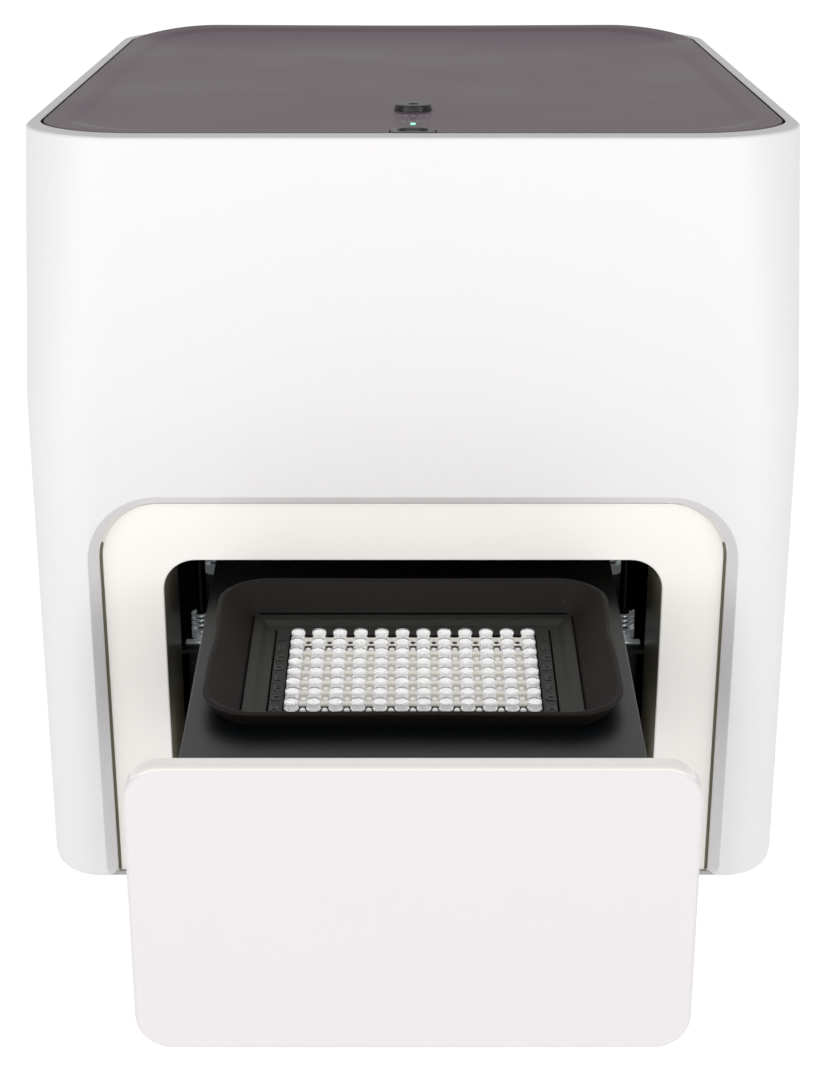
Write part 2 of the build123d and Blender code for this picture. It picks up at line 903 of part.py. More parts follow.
with BuildPart() as scan_rods:
    with BuildSketch(beside(-rod_end - scan_block)):
        with Locations((closed_centre, scan_rod_z)):
            with GridLocations(scan_rod_gap, 0, 2, 1):
                Circle(scan_rod_radius)
    extrude(amount=2 * (rod_end + scan_block))

with BuildPart() as scan_blocks:
    with BuildSketch(beside(rod_end)):
        with Locations((closed_centre, post_top)):
            block_span = scan_rod_gap + 2 * scan_block_margin
            Rectangle(block_span, scan_rod_rise + scan_block_margin, align=(Align.CENTER, Align.MIN))
        with Locations((closed_centre, scan_rod_z)):
            with GridLocations(scan_rod_gap, 0, 2, 1):
                Circle(scan_rod_radius + fit_clear, mode=Mode.SUBTRACT)
    extrude(amount=scan_block)
    mirror(about=Plane.YZ)

with BuildPart() as scan_head:
    with BuildSketch(beside(-head_length / 2)):
        with Locations((closed_centre, scan_rod_z)):
            RectangleRounded(head_width, head_height, head_corner)
            with GridLocations(scan_rod_gap, 0, 2, 1):
                Circle(scan_rod_radius + fit_clear, mode=Mode.SUBTRACT)
    extrude(amount=head_length)
    with BuildSketch(above(scan_rod_z - head_height / 2)):
        with Locations((0, closed_centre)):
            Circle(snout_radius)
    extrude(amount=-(scan_rod_rise - head_height / 2 - snout_gap))
    with BuildSketch(above(scan_rod_z + head_height / 2)):
        with Locations((0, closed_centre)):
            Circle(spindle_radius)
    extrude(amount=filter_thick + spindle_radius)

filter_base = scan_rod_z + head_height / 2 + running_gap

with BuildPart() as filter_wheel:
    with BuildSketch(above(filter_base)):
        with Locations((0, closed_centre)):
            Circle(filter_radius)
            Circle(spindle_radius + fit_clear, mode=Mode.SUBTRACT)
            with PolarLocations(filter_radius * filter_circle, filter_count):
                Circle(filter_window, mode=Mode.SUBTRACT)
    extrude(amount=filter_thick)

with BuildPart() as filter_glass:
    with BuildSketch(above(filter_base + (filter_thick - filter_glass_thick) / 2)):
        with Locations((0, closed_centre)):
            with PolarLocations(filter_radius * filter_circle, filter_count):
                Circle(filter_window - fit_clear)
    extrude(amount=filter_glass_thick)

door_height = door_high - door_low
door_middle = (door_high + door_low) / 2

with BuildPart() as drawer_front:
    with BuildSketch(before(door_rear)):
        with Locations((0, door_middle)):
            RectangleRounded(2 * door_half, door_height, bay_corner)
    extrude(amount=door_thick)
    fillet(drawer_front.faces().sort_by(Axis.Y)[0].edges(), door_edge)

carriage_low = carriage_floor - carriage_sheet
deck_low = bezel_top

with BuildPart() as carriage:
    with BuildSketch(before(door_rear)):
        with Locations((0, carriage_low)):
            Rectangle(2 * carriage_half, deck_low - carriage_low, align=(Align.CENTER, Align.MIN))
        with Locations((0, carriage_floor)):
            inner = carriage_half - carriage_sheet
            Rectangle(2 * inner, deck_low - carriage_low, align=(Align.CENTER, Align.MIN), mode=Mode.SUBTRACT)
    extrude(amount=-(carriage_rear - door_rear))
    with BuildSketch(before(door_rear)):
        with Locations((0, carriage_low)):
            Rectangle(2 * carriage_half, deck_low - carriage_low, align=(Align.CENTER, Align.MIN))
    extrude(amount=-carriage_sheet)
    with BuildSketch(above(carriage_low)):
        with Locations((0, block_centre)):
            Circle(fan_bore)
    extrude(amount=carriage_sheet, mode=Mode.SUBTRACT)

with BuildPart() as deck_plate:
    opening_length = collar_length - 2 * collar_undercut - 2 * collar_fit
    opening_width = collar_width - 2 * collar_undercut - 2 * collar_fit
    opening_corner = collar_corner - collar_undercut
    with BuildSketch(above(deck_low)):
        with Locations((0, (door_rear + deck_rear) / 2)):
            Rectangle(2 * deck_half, deck_rear - door_rear)
        with Locations((0, block_centre)):
            RectangleRounded(opening_length, opening_width, opening_corner, mode=Mode.SUBTRACT)
    extrude(amount=deck_top - deck_low)
    fillet(deck_plate.edges().filter_by(Axis.Y).group_by(Axis.Z)[-1], deck_round)

with BuildPart() as collar_funnel:
    with BuildSketch(above(bezel_top)):
        with Locations((0, block_centre)):
            RectangleRounded(throat_length, throat_width, throat_corner)
    with BuildSketch(above(collar_top)):
        with Locations((0, block_centre)):
            mouth_length = collar_length - 2 * collar_lip
            mouth_width = collar_width - 2 * collar_lip
            RectangleRounded(mouth_length, mouth_width, collar_corner - collar_lip)
    loft(ruled=True)

with BuildPart() as collar:
    with BuildSketch(above(deck_top)):
        with Locations((0, block_centre)):
            RectangleRounded(
                collar_length - 2 * collar_undercut, collar_width - 2 * collar_undercut, opening_corner
            )
    with BuildSketch(above(collar_top)):
        with Locations((0, block_centre)):
            RectangleRounded(collar_length, collar_width, collar_corner)
    loft(ruled=True)
    with BuildSketch(above(bezel_top)):
        with Locations((0, block_centre)):
            seat_length = opening_length - 2 * collar_seat
            seat_width = opening_width - 2 * collar_seat
            RectangleRounded(seat_length, seat_width, opening_corner)
    extrude(amount=deck_top - bezel_top)
    add(collar_funnel.part, mode=Mode.SUBTRACT)

bezel_low = bezel_top - bezel_thick

with BuildPart() as collar_bezel:
    with BuildSketch(above(bezel_low)):
        with Locations((0, block_centre)):
            bezel_length = 2 * (carriage_half - carriage_sheet) - bezel_fit
            Rectangle(bezel_length, opening_width + 2 * bezel_lap)
            Rectangle(frame_length + 2 * bezel_fit, frame_width + 2 * bezel_fit, mode=Mode.SUBTRACT)
    extrude(amount=bezel_thick)

frame_low = frame_top - frame_thick
block_low = block_top - block_thick

with BuildPart() as letter_frame:
    with BuildSketch(above(frame_low)):
        with Locations((0, block_centre)):
            Rectangle(frame_length, frame_width)
            Rectangle(frame_length - 2 * frame_border, frame_width - 2 * frame_border, mode=Mode.SUBTRACT)
    extrude(amount=frame_thick)

tube_top = cap_top - cap_thick
tube_tip = tube_top - tube_length
tube_lean = (tube_top_radius - tube_tip_radius) / tube_length


def tube_radius(z):
    return tube_top_radius - tube_lean * (tube_top - z)


def cone(low, high, gap):
    """One eight-sided cone standing in for a round tube or well, upright at the origin."""
    with BuildPart() as form:
        for z in (low, high):
            with BuildSketch(Plane.XY.offset(z)):
                RegularPolygon(tube_radius(z) + gap, tube_sides)
        loft(ruled=True)
    return form.part


well = cone(tube_tip - tube_clear, block_top, tube_clear)
tube = cone(tube_tip, tube_top, 0)

with BuildPart() as sample_block:
    with BuildSketch(above(block_low)):
        with Locations((0, block_centre)):
            Rectangle(grid_length + block_foot, grid_width + block_foot)
    extrude(amount=block_flange)
    with BuildSketch(above(block_low)):
        with Locations((0, block_centre)):
            reach = frame_border + tube_clear
            Rectangle(frame_length - 2 * reach, frame_width - 2 * reach)
    extrude(amount=block_thick)
    with Locations((0, front + block_centre, 0)):
        with GridLocations(well_pitch, well_pitch, columns, rows):
            add(well, mode=Mode.SUBTRACT)

with BuildPart() as tube_strips:
    with BuildSketch(above(tube_top)):
        with Locations((0, block_centre)):
            with GridLocations(well_pitch, well_pitch, columns, rows):
                RegularPolygon(cap_radius, tube_sides)
            with GridLocations(well_pitch, 0, columns, 1):
                Rectangle(link_width, (rows - 1) * well_pitch)
    extrude(amount=cap_thick)
    with Locations((0, front + block_centre, 0)):
        with GridLocations(well_pitch, well_pitch, columns, rows):
            add(tube)

sink_length = grid_length + block_foot + 2 * sink_reach_side
sink_width = grid_width + block_foot + 2 * sink_reach_end
peltier_low = block_low - peltier_thick
sink_top = peltier_low
fin_low = sink_top - sink_base - fin_height

with BuildPart() as peltier_modules:
    with BuildSketch(above(peltier_low)):
        with Locations((0, block_centre)):
            module_length = grid_length / 2 - peltier_gap
            with GridLocations(grid_length / 2, 0, 2, 1):
                Rectangle(module_length, grid_width - 2 * peltier_inset)
    extrude(amount=peltier_thick)

with BuildPart() as heat_sink:
    with BuildSketch(above(sink_top)):
        with Locations((0, block_centre)):
            Rectangle(sink_length, sink_width)
    extrude(amount=-sink_base)
    with BuildSketch(above(sink_top - sink_base)):
        with Locations((0, block_centre)):
            with GridLocations((sink_length - fin_thick) / (fin_count - 1), 0, fin_count, 1):
                Rectangle(fin_thick, sink_width)
    extrude(amount=-fin_height)

with BuildPart() as sink_posts:
    with BuildSketch(above(sink_top)):
        with Locations((0, block_centre)):
            with GridLocations(sink_length - 2 * sink_post_inset, sink_width - 2 * sink_post_inset, 2, 2):
                Circle(sink_post_radius)
    extrude(amount=bezel_low - sink_top)

with BuildPart() as sink_fan_frame:
    with BuildSketch(above(fin_low - sink_fan_thick)):
        with Locations((0, block_centre)):
            RectangleRounded(fan_size, fan_size, fan_corner)
            Circle(fan_bore, mode=Mode.SUBTRACT)
    extrude(amount=sink_fan_thick)
    with BuildSketch(above(fin_low - sink_fan_thick)):
        with Locations((0, block_centre)):
            Circle(hub_radius)
            with PolarLocations(0, arm_count, start_angle=arm_turn):
                Rectangle(fan_bore + fan_end_gap, fan_arm, align=(Align.MIN, Align.CENTER))
    extrude(amount=fan_strut)
    with BuildSketch(above(fin_low - sink_fan_thick + fan_strut)):
        with Locations((0, block_centre)):
            Circle(fan_pin)
    extrude(amount=sink_fan_thick - fan_strut - fan_end_gap)

sink_fan_rotor = fan_rotor(above(fin_low - sink_fan_thick), 0, block_centre, sink_fan_thick)

# Rack and pinion: the rack hangs under the carriage floor, teeth down
pitch_radius = pinion_teeth * gear_module / 2
tooth_pitch = pi * gear_module
rack_line = carriage_low - rack_body - dedendum * gear_module
rack_start = door_rear + rack_start_gap
rack_teeth = int((carriage_rear - rack_start) / tooth_pitch) - 1
root_rise = dedendum * gear_module
flank = tan(radians(pressure_angle))
root_half = tooth_pitch / 4 + root_rise * flank - mesh_clear / 2
tip_half = tooth_pitch / 4 - gear_module * flank - mesh_clear / 2
tooth_phase = pinion_y - tooth_pitch / 2 - tooth_pitch * int((pinion_y - rack_start) / tooth_pitch)

with BuildPart() as drive_rack:
    with BuildSketch(beside(rack_x - rack_width / 2)):
        with Locations((rack_start, carriage_low)):
            Rectangle(carriage_rear - rack_start, rack_body, align=(Align.MIN, Align.MAX))
        with Locations(*[(tooth_phase + tooth_pitch * (n + 1), rack_line) for n in range(rack_teeth)]):
            Polygon(
                (-root_half, root_rise),
                (root_half, root_rise),
                (tip_half, -gear_module),
                (-tip_half, -gear_module),
                align=None,
            )
    extrude(amount=rack_width)

pinion_z = rack_line - pitch_radius

with BuildPart() as drive_pinion:
    with BuildSketch(beside(rack_x - rack_width / 2)):
        with Locations((pinion_y, pinion_z)):
            Polygon(*gear_outline(pinion_teeth, gear_module, mesh_clear), align=None)
    extrude(amount=rack_width)
    with BuildSketch(beside(rack_x - rack_width / 2)):
        with Locations((pinion_y, pinion_z)):
            Circle(shaft_radius)
    extrude(amount=rack_width + shaft_reach)

motor_start = rack_x + rack_width / 2 + bracket_sheet + rack_gap

with BuildPart() as drawer_motor:
    with BuildSketch(beside(motor_start)):
        with Locations((pinion_y, pinion_z)):
            Circle(motor_radius)
    extrude(amount=motor_length)
    with BuildSketch(beside(motor_start)):
        with Locations((pinion_y, pinion_z)):
            Circle(shaft_radius + fit_clear)
    extrude(amount=shaft_reach, mode=Mode.SUBTRACT)

with BuildPart() as motor_bracket:
    bracket_width = 2 * (motor_radius + bracket_margin)
    with BuildSketch(beside(motor_start - bracket_sheet)):
        with Locations((pinion_y, base_top)):
            Rectangle(bracket_width, pinion_z + motor_radius - base_top, align=(Align.CENTER, Align.MIN))
        with Locations((pinion_y, pinion_z)):
            Circle(shaft_radius + bracket_sheet, mode=Mode.SUBTRACT)
    extrude(amount=bracket_sheet)
    with BuildSketch(above(base_top)):
        with Locations((motor_start, pinion_y)):
            Rectangle(bracket_foot, bracket_width, align=(Align.MIN, Align.CENTER))
    extrude(amount=bracket_sheet)

with BuildPart() as power_supply:
    with BuildSketch(above(base_top)):
        with Locations((supply_x, supply_y)):
            Rectangle(supply_length, supply_width)
    extrude(amount=supply_height)
    with BuildSketch(above(base_top + supply_height)):
        with Locations((supply_x, supply_y)):
            with GridLocations(supply_slot_pitch, 0, supply_slot_count, 1):
                Rectangle(supply_slot, supply_width - 2 * supply_slot_inset)
    extrude(amount=-supply_slot_depth, mode=Mode.SUBTRACT)

board_wall = chassis_x + chassis_sheet

with BuildPart() as main_board:
    with BuildSketch(beside(board_wall + board_stand)):
        with Locations((main_board_y, main_board_z)):
            Rectangle(main_board_length, main_board_width)
    extrude(amount=board_thick)
    with BuildSketch(beside(board_wall + board_stand + board_thick)):
        with Locations((main_board_y, main_board_z)):
            Rectangle(processor, processor)
            with Locations((-chip_spread, socket_row), (chip_spread, socket_row)):
                Rectangle(socket_length, socket_width)
            with Locations((-chip_spread, coil_row), (chip_spread, coil_row)):
                Rectangle(coil, coil)
    extrude(amount=chip_height)

with BuildPart() as board_standoffs:
    with BuildSketch(beside(board_wall)):
        with Locations((main_board_y, main_board_z)):
            with GridLocations(main_board_length - 2 * stand_inset, main_board_width - 2 * stand_inset, 2, 2):
                Circle(stand_radius)
    extrude(amount=board_stand)

pieces = {
    "outer_housing": outer_housing,
    "front_fascia": front_fascia,
    "base_plate": base_plate,
    "feet": feet,
    "top_panel": top_panel,
    "power_button": power_button,
    "eject_button": eject_button,
    "status_lights": status_lights,
    "button_board": button_board,
    "rear_panel": rear_panel,
    "exhaust_fan_frame": exhaust_fan_frame,
    "exhaust_fan_rotor": exhaust_fan_rotor,
    "power_inlet": power_inlet,
    "inlet_pins": inlet_pins,
    "power_switch": power_switch,
    "power_rocker": power_rocker,
    "network_port": network_port,
    "usb_port": usb_port,
    "chassis_sides": chassis_sides,
    "slide_outer": slide_parts["slide_outer"],
    "slide_middle": slide_parts["slide_middle"],
    "slide_inner": slide_parts["slide_inner"],
    "guide_posts": guide_posts,
    "lid_bridge": lid_bridge,
    "lid_carrier": lid_carrier,
    "heated_plate": heated_plate,
    "lid_lens": lid_lens,
    "scan_rods": scan_rods,
    "scan_blocks": scan_blocks,
    "scan_head": scan_head,
    "filter_wheel": filter_wheel,
    "filter_glass": filter_glass,
    "drawer_front": drawer_front,
    "carriage": carriage,
    "deck_plate": deck_plate,
    "collar": collar,
    "collar_bezel": collar_bezel,
    "letter_frame": letter_frame,
    "sample_block": sample_block,
    "tube_strips": tube_strips,
    "peltier_modules": peltier_modules,
    "heat_sink": heat_sink,
    "sink_posts": sink_posts,
    "sink_fan_frame": sink_fan_frame,
    "sink_fan_rotor": sink_fan_rotor,
    "drive_rack": drive_rack,
    "drive_pinion": drive_pinion,
    "drawer_motor": drawer_motor,
    "motor_bracket": motor_bracket,
    "power_supply": power_supply,
    "main_board": main_board,
    "board_standoffs": board_standoffs,
}

os.makedirs("parts", exist_ok=True)
for label, piece in pieces.items():
    piece.part.label = label
    export_step(piece.part, f"parts/{label}.step")
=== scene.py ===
import json
import math
import bpy
import bmesh
from mathutils import Matrix, Vector


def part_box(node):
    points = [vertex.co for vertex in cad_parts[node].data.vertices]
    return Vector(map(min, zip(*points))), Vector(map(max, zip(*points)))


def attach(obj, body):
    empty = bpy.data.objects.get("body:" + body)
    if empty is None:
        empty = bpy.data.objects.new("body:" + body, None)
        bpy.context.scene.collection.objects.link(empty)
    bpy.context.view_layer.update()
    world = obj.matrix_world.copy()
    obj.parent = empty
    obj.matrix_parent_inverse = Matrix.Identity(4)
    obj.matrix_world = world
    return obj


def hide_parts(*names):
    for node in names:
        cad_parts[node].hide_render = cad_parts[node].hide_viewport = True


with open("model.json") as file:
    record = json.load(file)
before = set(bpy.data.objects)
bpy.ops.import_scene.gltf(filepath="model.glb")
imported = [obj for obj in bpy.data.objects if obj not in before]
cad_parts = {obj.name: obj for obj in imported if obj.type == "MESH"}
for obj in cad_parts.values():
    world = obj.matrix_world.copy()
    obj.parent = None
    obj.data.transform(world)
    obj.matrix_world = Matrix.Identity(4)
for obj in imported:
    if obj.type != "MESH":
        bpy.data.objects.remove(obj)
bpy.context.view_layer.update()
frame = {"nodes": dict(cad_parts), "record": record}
mm = 0.001
nodes = frame["nodes"]
print("frame loaded:", len(nodes), "nodes")

# Places are in millimetres from the casing's front face (y) and the bench (z), as the casing was drawn
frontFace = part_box("outer_housing")[0].y
casing = {
    "halfWidth": 170.2, "depth": 448.0, "wall": 5.0, "footHeight": 8.0, "bottomRound": 8.0,
    "creaseHeight": 239.8, "creaseRound": 5.0, "rimHeight": 362.3, "rimSlope": 6.0, "rimInset": 4.55,
    "rimRound": 1.6, "rimWidth": 5.0, "rimLedge": 13.5, "ledgeThick": 3.0,
    "cornerBottom": 22.0, "cornerCrease": 33.0, "cornerRim": 50.0,
    "archHalf": 138.9, "archTop": 199.6, "archCorner": 27.0, "archBevel": 4.6, "legRound": 6.0,
    "rearHalf": 130.0, "rearLow": 30.0, "rearHigh": 208.0,
}
rimSlope = math.radians(casing["rimSlope"])
rimAlong = Vector((0, math.cos(rimSlope), -math.sin(rimSlope)))
rimUp = Vector((0, math.sin(rimSlope), math.cos(rimSlope)))
rimLength = (casing["depth"] - 2 * casing["rimInset"]) / math.cos(rimSlope)


def place(x, y, z):
    return Vector((x * mm, frontFace + y * mm, z * mm))


def onRim(x, along, rise=0.0):
    start = place(0, casing["rimInset"], casing["rimHeight"])
    return start + Vector((x * mm, 0, 0)) + rimAlong * along * mm + rimUp * rise * mm


def hexColour(code):
    parts = [int(code[i:i + 2], 16) / 255 for i in (0, 2, 4)]
    return tuple(p / 12.92 if p <= 0.04045 else ((p + 0.055) / 1.055) ** 2.4 for p in parts) + (1.0,)


def addNode(tree, kind, values=None, links=None, **settings):
    node = tree.nodes.new(kind)
    for name, value in settings.items():
        setattr(node, name, value)
    for socket, value in (values or {}).items():
        node.inputs[socket].default_value = value
    for socket, source in (links or {}).items():
        tree.links.new(source, node.inputs[socket])
    return node


def newMaterial(name):
    material = bpy.data.materials.new(name)
    material.use_nodes = True
    material.node_tree.nodes.clear()
    return material, material.node_tree


def shaded(tree, shader):
    addNode(tree, "ShaderNodeOutputMaterial", links={"Surface": shader.outputs[0]})


def bumpedSurface(name, colour, roughness, grain, depth, patch=0.03, drift=0.02, base=None):
    # grain and depth in mm; patch is how far the gloss wanders, drift how far the colour does
    material, tree = newMaterial(name)
    coords = addNode(tree, "ShaderNodeTexCoord")
    fine = addNode(tree, "ShaderNodeTexNoise", {"Scale": 1 / (grain * mm), "Detail": 2.0},
                   {"Vector": coords.outputs["Object"]})
    bump = addNode(tree, "ShaderNodeBump", {"Strength": 0.5, "Distance": depth * mm},
                   {"Height": fine.outputs["Fac"]})
    wide = addNode(tree, "ShaderNodeTexNoise", {"Scale": 14.0, "Detail": 3.0},
                   {"Vector": coords.outputs["Object"]})
    gloss = addNode(tree, "ShaderNodeMapRange", {"To Min": roughness - patch, "To Max": roughness + patch},
                    {"Value": wide.outputs["Fac"]})
    tint = addNode(tree, "ShaderNodeMapRange", {"To Min": 1 - drift, "To Max": 1 + drift},
                   {"Value": wide.outputs["Fac"]})
    colourNode = addNode(tree, "ShaderNodeHueSaturation", {"Color": hexColour(colour)},
                         {"Value": tint.outputs["Result"]})
    shader = addNode(tree, "ShaderNodeBsdfPrincipled", base or {},
                     {"Base Color": colourNode.outputs["Color"], "Roughness": gloss.outputs["Result"],
                      "Normal": bump.outputs["Normal"]})
    shaded(tree, shader)
    return material


def housingPlastic():
    # ABS, spark-eroded mould: cool white, a fine even grain that scatters the studio light
    return bumpedSurface("ABS cool white", "F2F0F1", 0.45, 0.8, 0.02, drift=0.004)


def doorPlastic():
    # the drawer's front: the fascia's warm white made greyer all over, painted shade against the strong light on its
    # face
    return bumpedSurface("ABS warm white, painted shade", "E6E2E3", 0.4, 0.8, 0.015, patch=0.05, drift=0.006)


def fasciaPlastic():
    # ABS from another batch: a warmer white, a little smoother than the casing. It is pushed whiter and given a faint
    # glow of its own colour, painted light that lifts it where the casing and the drawer shade it
    return bumpedSurface("ABS warm white", "FEFBF6", 0.42, 0.8, 0.015, drift=0.003,
                         base={"Emission Color": hexColour("FEFBF6"), "Emission Strength": 0.05})


def panelPlastic():
    # dyed polycarbonate with a satin texture: brownish grey, broad soft reflections
    return bumpedSurface("polycarbonate umber", "614D59", 0.38, 0.6, 0.03, patch=0.05, drift=0.06)


def buttonPlastic():
    # dyed ABS, the same tool finish as the panel but smoother where fingers rub it
    return bumpedSurface("ABS button black", "1F1C1F", 0.3, 0.6, 0.01, patch=0.05)


def deckPaint():
    # powder-coated steel sheet: blue-black, fine orange peel, glossy at a low angle
    return bumpedSurface("powder coat blue black", "0A0D10", 0.4, 1.4, 0.03, patch=0.04, drift=0.05)


def steelPaint():
    # black powder coat over folded sheet, duller than the deck
    return bumpedSurface("powder coat black", "101113", 0.5, 1.2, 0.03)


def siliconeRubber():
    # moulded silicone: brown-black and matt, with the dust that silicone always picks up
    material, tree = newMaterial("silicone black")
    coords = addNode(tree, "ShaderNodeTexCoord")
    skin = addNode(tree, "ShaderNodeTexNoise", {"Scale": 1 / (0.9 * mm), "Detail": 2.0},
                   {"Vector": coords.outputs["Object"]})
    bump = addNode(tree, "ShaderNodeBump", {"Strength": 0.4, "Distance": 0.03 * mm},
                   {"Height": skin.outputs["Fac"]})
    dust = addNode(tree, "ShaderNodeTexVoronoi", {"Scale": 1 / (5.5 * mm)},
                   {"Vector": coords.outputs["Object"]}, distance="EUCLIDEAN")
    speck = addNode(tree, "ShaderNodeMapRange", {"From Min": 0.05, "From Max": 0.03, "To Max": 0.35},
                    {"Value": dust.outputs["Distance"]})
    chance = addNode(tree, "ShaderNodeMath", {1: 0.62}, {0: dust.outputs["Color"]}, operation="GREATER_THAN")
    shown = addNode(tree, "ShaderNodeMath", None, {0: speck.outputs["Result"], 1: chance.outputs[0]},
                    operation="MULTIPLY")
    mix = addNode(tree, "ShaderNodeMix", {"A": hexColour("17120F"), "B": hexColour("A79D94")},
                  {"Factor": shown.outputs[0]}, data_type="RGBA")
    shader = addNode(tree, "ShaderNodeBsdfPrincipled", {"Roughness": 0.62, "IOR": 1.42, "Specular IOR Level": 0.36},
                     {"Base Color": mix.outputs[2], "Normal": bump.outputs["Normal"]})
    shaded(tree, shader)
    return material


def bezelPlastic():
    # glass-filled nylon: dark olive grey, dull, a little mottled by the fibres
    return bumpedSurface("nylon olive grey", "1B1A14", 0.55, 0.7, 0.03, drift=0.05)


def tubePlastic(name="polypropylene milky", colour="FFFFFF", clear=0.1, glow=0.16):
    # clear polypropylene: half milky, half see-through, with bright edges where a wall is seen on end; the even glow
    # it is given is painted light
    material, tree = newMaterial(name)
    coords = addNode(tree, "ShaderNodeTexCoord")
    flow = addNode(tree, "ShaderNodeTexNoise", {"Scale": 1 / (2.2 * mm), "Detail": 2.0},
                   {"Vector": coords.outputs["Object"]})
    bump = addNode(tree, "ShaderNodeBump", {"Strength": 0.15, "Distance": 0.03 * mm},
                   {"Height": flow.outputs["Fac"]})
    shader = addNode(tree, "ShaderNodeBsdfPrincipled",
                     {"Base Color": hexColour(colour), "Roughness": 0.1, "IOR": 1.49,
                      "Transmission Weight": clear, "Emission Color": (1, 1, 1, 1),
                      "Emission Strength": glow}, {"Normal": bump.outputs["Normal"]})
    shaded(tree, shader)
    return material


def brushedMetal(name, colour, roughness, stretch=(40.0, 1.0, 40.0), line=0.5, glow=0.0):
    # drawn or milled metal: fine parallel lines, spaced by line mm, smear the highlights
    material, tree = newMaterial(name)
    coords = addNode(tree, "ShaderNodeTexCoord")
    turned = addNode(tree, "ShaderNodeMapping", {"Scale": tuple(s / (40 * line * mm) for s in stretch)},
                     {"Vector": coords.outputs["Object"]})
    lines = addNode(tree, "ShaderNodeTexNoise", {"Scale": 1.0, "Detail": 3.0},
                    {"Vector": turned.outputs["Vector"]})
    gloss = addNode(tree, "ShaderNodeMapRange", {"To Min": roughness - 0.06, "To Max": roughness + 0.08},
                    {"Value": lines.outputs["Fac"]})
    bump = addNode(tree, "ShaderNodeBump", {"Strength": 0.15, "Distance": 0.02 * mm},
                   {"Height": lines.outputs["Fac"]})
    shader = addNode(tree, "ShaderNodeBsdfPrincipled", {"Base Color": hexColour(colour), "Metallic": 1.0,
                     "Emission Color": hexColour(colour), "Emission Strength": glow},
                     {"Roughness": gloss.outputs["Result"], "Normal": bump.outputs["Normal"]})
    shaded(tree, shader)
    return material


def litPlastic(name, colour, strength):
    # tinted acrylic light pipe, glowing from the lamp under it
    material, tree = newMaterial(name)
    coords = addNode(tree, "ShaderNodeTexCoord")
    cloud = addNode(tree, "ShaderNodeTexNoise", {"Scale": 1 / (1.0 * mm)}, {"Vector": coords.outputs["Object"]})
    glow = addNode(tree, "ShaderNodeMapRange", {"To Min": strength * 0.8, "To Max": strength * 1.2},
                   {"Value": cloud.outputs["Fac"]})
    shader = addNode(tree, "ShaderNodeBsdfPrincipled",
                     {"Base Color": hexColour(colour), "Emission Color": hexColour(colour), "Roughness": 0.2},
                     {"Emission Strength": glow.outputs["Result"]})
    shaded(tree, shader)
    return material


finish = {
    "housing": housingPlastic(),
    "fascia": fasciaPlastic(),
    "door": doorPlastic(),
    # the bay's inside walls, part of the fascia moulding, in a darker olive grey than the fascia's white: painted
    # shade inside the bay
    "sleeve": bumpedSurface("ABS olive grey, painted shade", "B9B49C", 0.35, 0.8, 0.015),
    "panel": panelPlastic(),
    "button": buttonPlastic(),
    "deck": deckPaint(),
    "blackSteel": steelPaint(),
    "silicone": siliconeRubber(),
    "bezel": bezelPlastic(),
    # the tubes, the web and its pins glow faintly, painted light; the web's lower deck is a greyer copy of the web
    # with less glow, painted shade
    "tube": tubePlastic(),
    "web": tubePlastic("polypropylene web", "E6E1D6", 0.15),
    "webFloor": tubePlastic("polypropylene web floor, painted shade", "BDB7AD", 0.15, 0.12),
    "clear": tubePlastic("polypropylene glass clear", "FFFFFF", 0.97, 0.02),
    # zinc-plated sheet: pale grey with a faint grain
    "sheetSteel": brushedMetal("zinc plated steel", "A9ABAC", 0.38),
    # ground spring and shaft steel: the brightest metal inside, made brighter still by a faint glow of its own
    # colour, a painted highlight
    "springSteel": brushedMetal("spring steel", "DDE3E6", 0.2, (1.0, 1.0, 40.0), 0.2, 0.1),
    "brightSteel": brushedMetal("ground steel", "D8D9DB", 0.16, (1.0, 1.0, 40.0), 0.2),
    "aluminium": brushedMetal("milled aluminium", "C9CBCD", 0.3),
    "anodised": brushedMetal("black anodised aluminium", "26272A", 0.36),
    # brass, turned
    "brass": brushedMetal("turned brass", "C7A052", 0.25, (1.0, 40.0, 1.0), 0.3),
    # dark olive on the fascia's faces in the joint between casing and fascia, soaking up light: painted shadow in the
    # groove
    "grooveShadow": bumpedSurface("painted groove shadow olive", "8B8875", 0.9, 0.5, 0.2),
    # black on the casing's inward and downward faces, where shade falls: painted shade
    "insideShade": bumpedSurface("painted shade black", "0E0E0F", 0.7, 1.0, 0.05),
    "fanPlastic": bumpedSurface("PBT black", "17181A", 0.42, 0.8, 0.02),
    "rubber": bumpedSurface("rubber black", "1B1B1B", 0.75, 0.8, 0.06),
    "inletPlastic": bumpedSurface("phenolic black", "121212", 0.3, 0.8, 0.01),
    "nylon": bumpedSurface("nylon natural", "E4DFCF", 0.45, 0.8, 0.02),
    # solder mask over glass fibre weave
    "circuit": bumpedSurface("solder mask green", "1D5B35", 0.3, 0.6, 0.02, drift=0.12),
    "ceramic": bumpedSurface("alumina ceramic", "E9E6DE", 0.5, 0.6, 0.02),
    "lampGreen": litPlastic("acrylic lit green", "7DF0C0", 1.6),
    # printed marks: pale grey ink, matt
    "print": bumpedSurface("ink pale grey", "B9B4B8", 0.6, 0.5, 0.005),
    "lampOff": bumpedSurface("acrylic violet", "5A5478", 0.25, 0.6, 0.01),
}

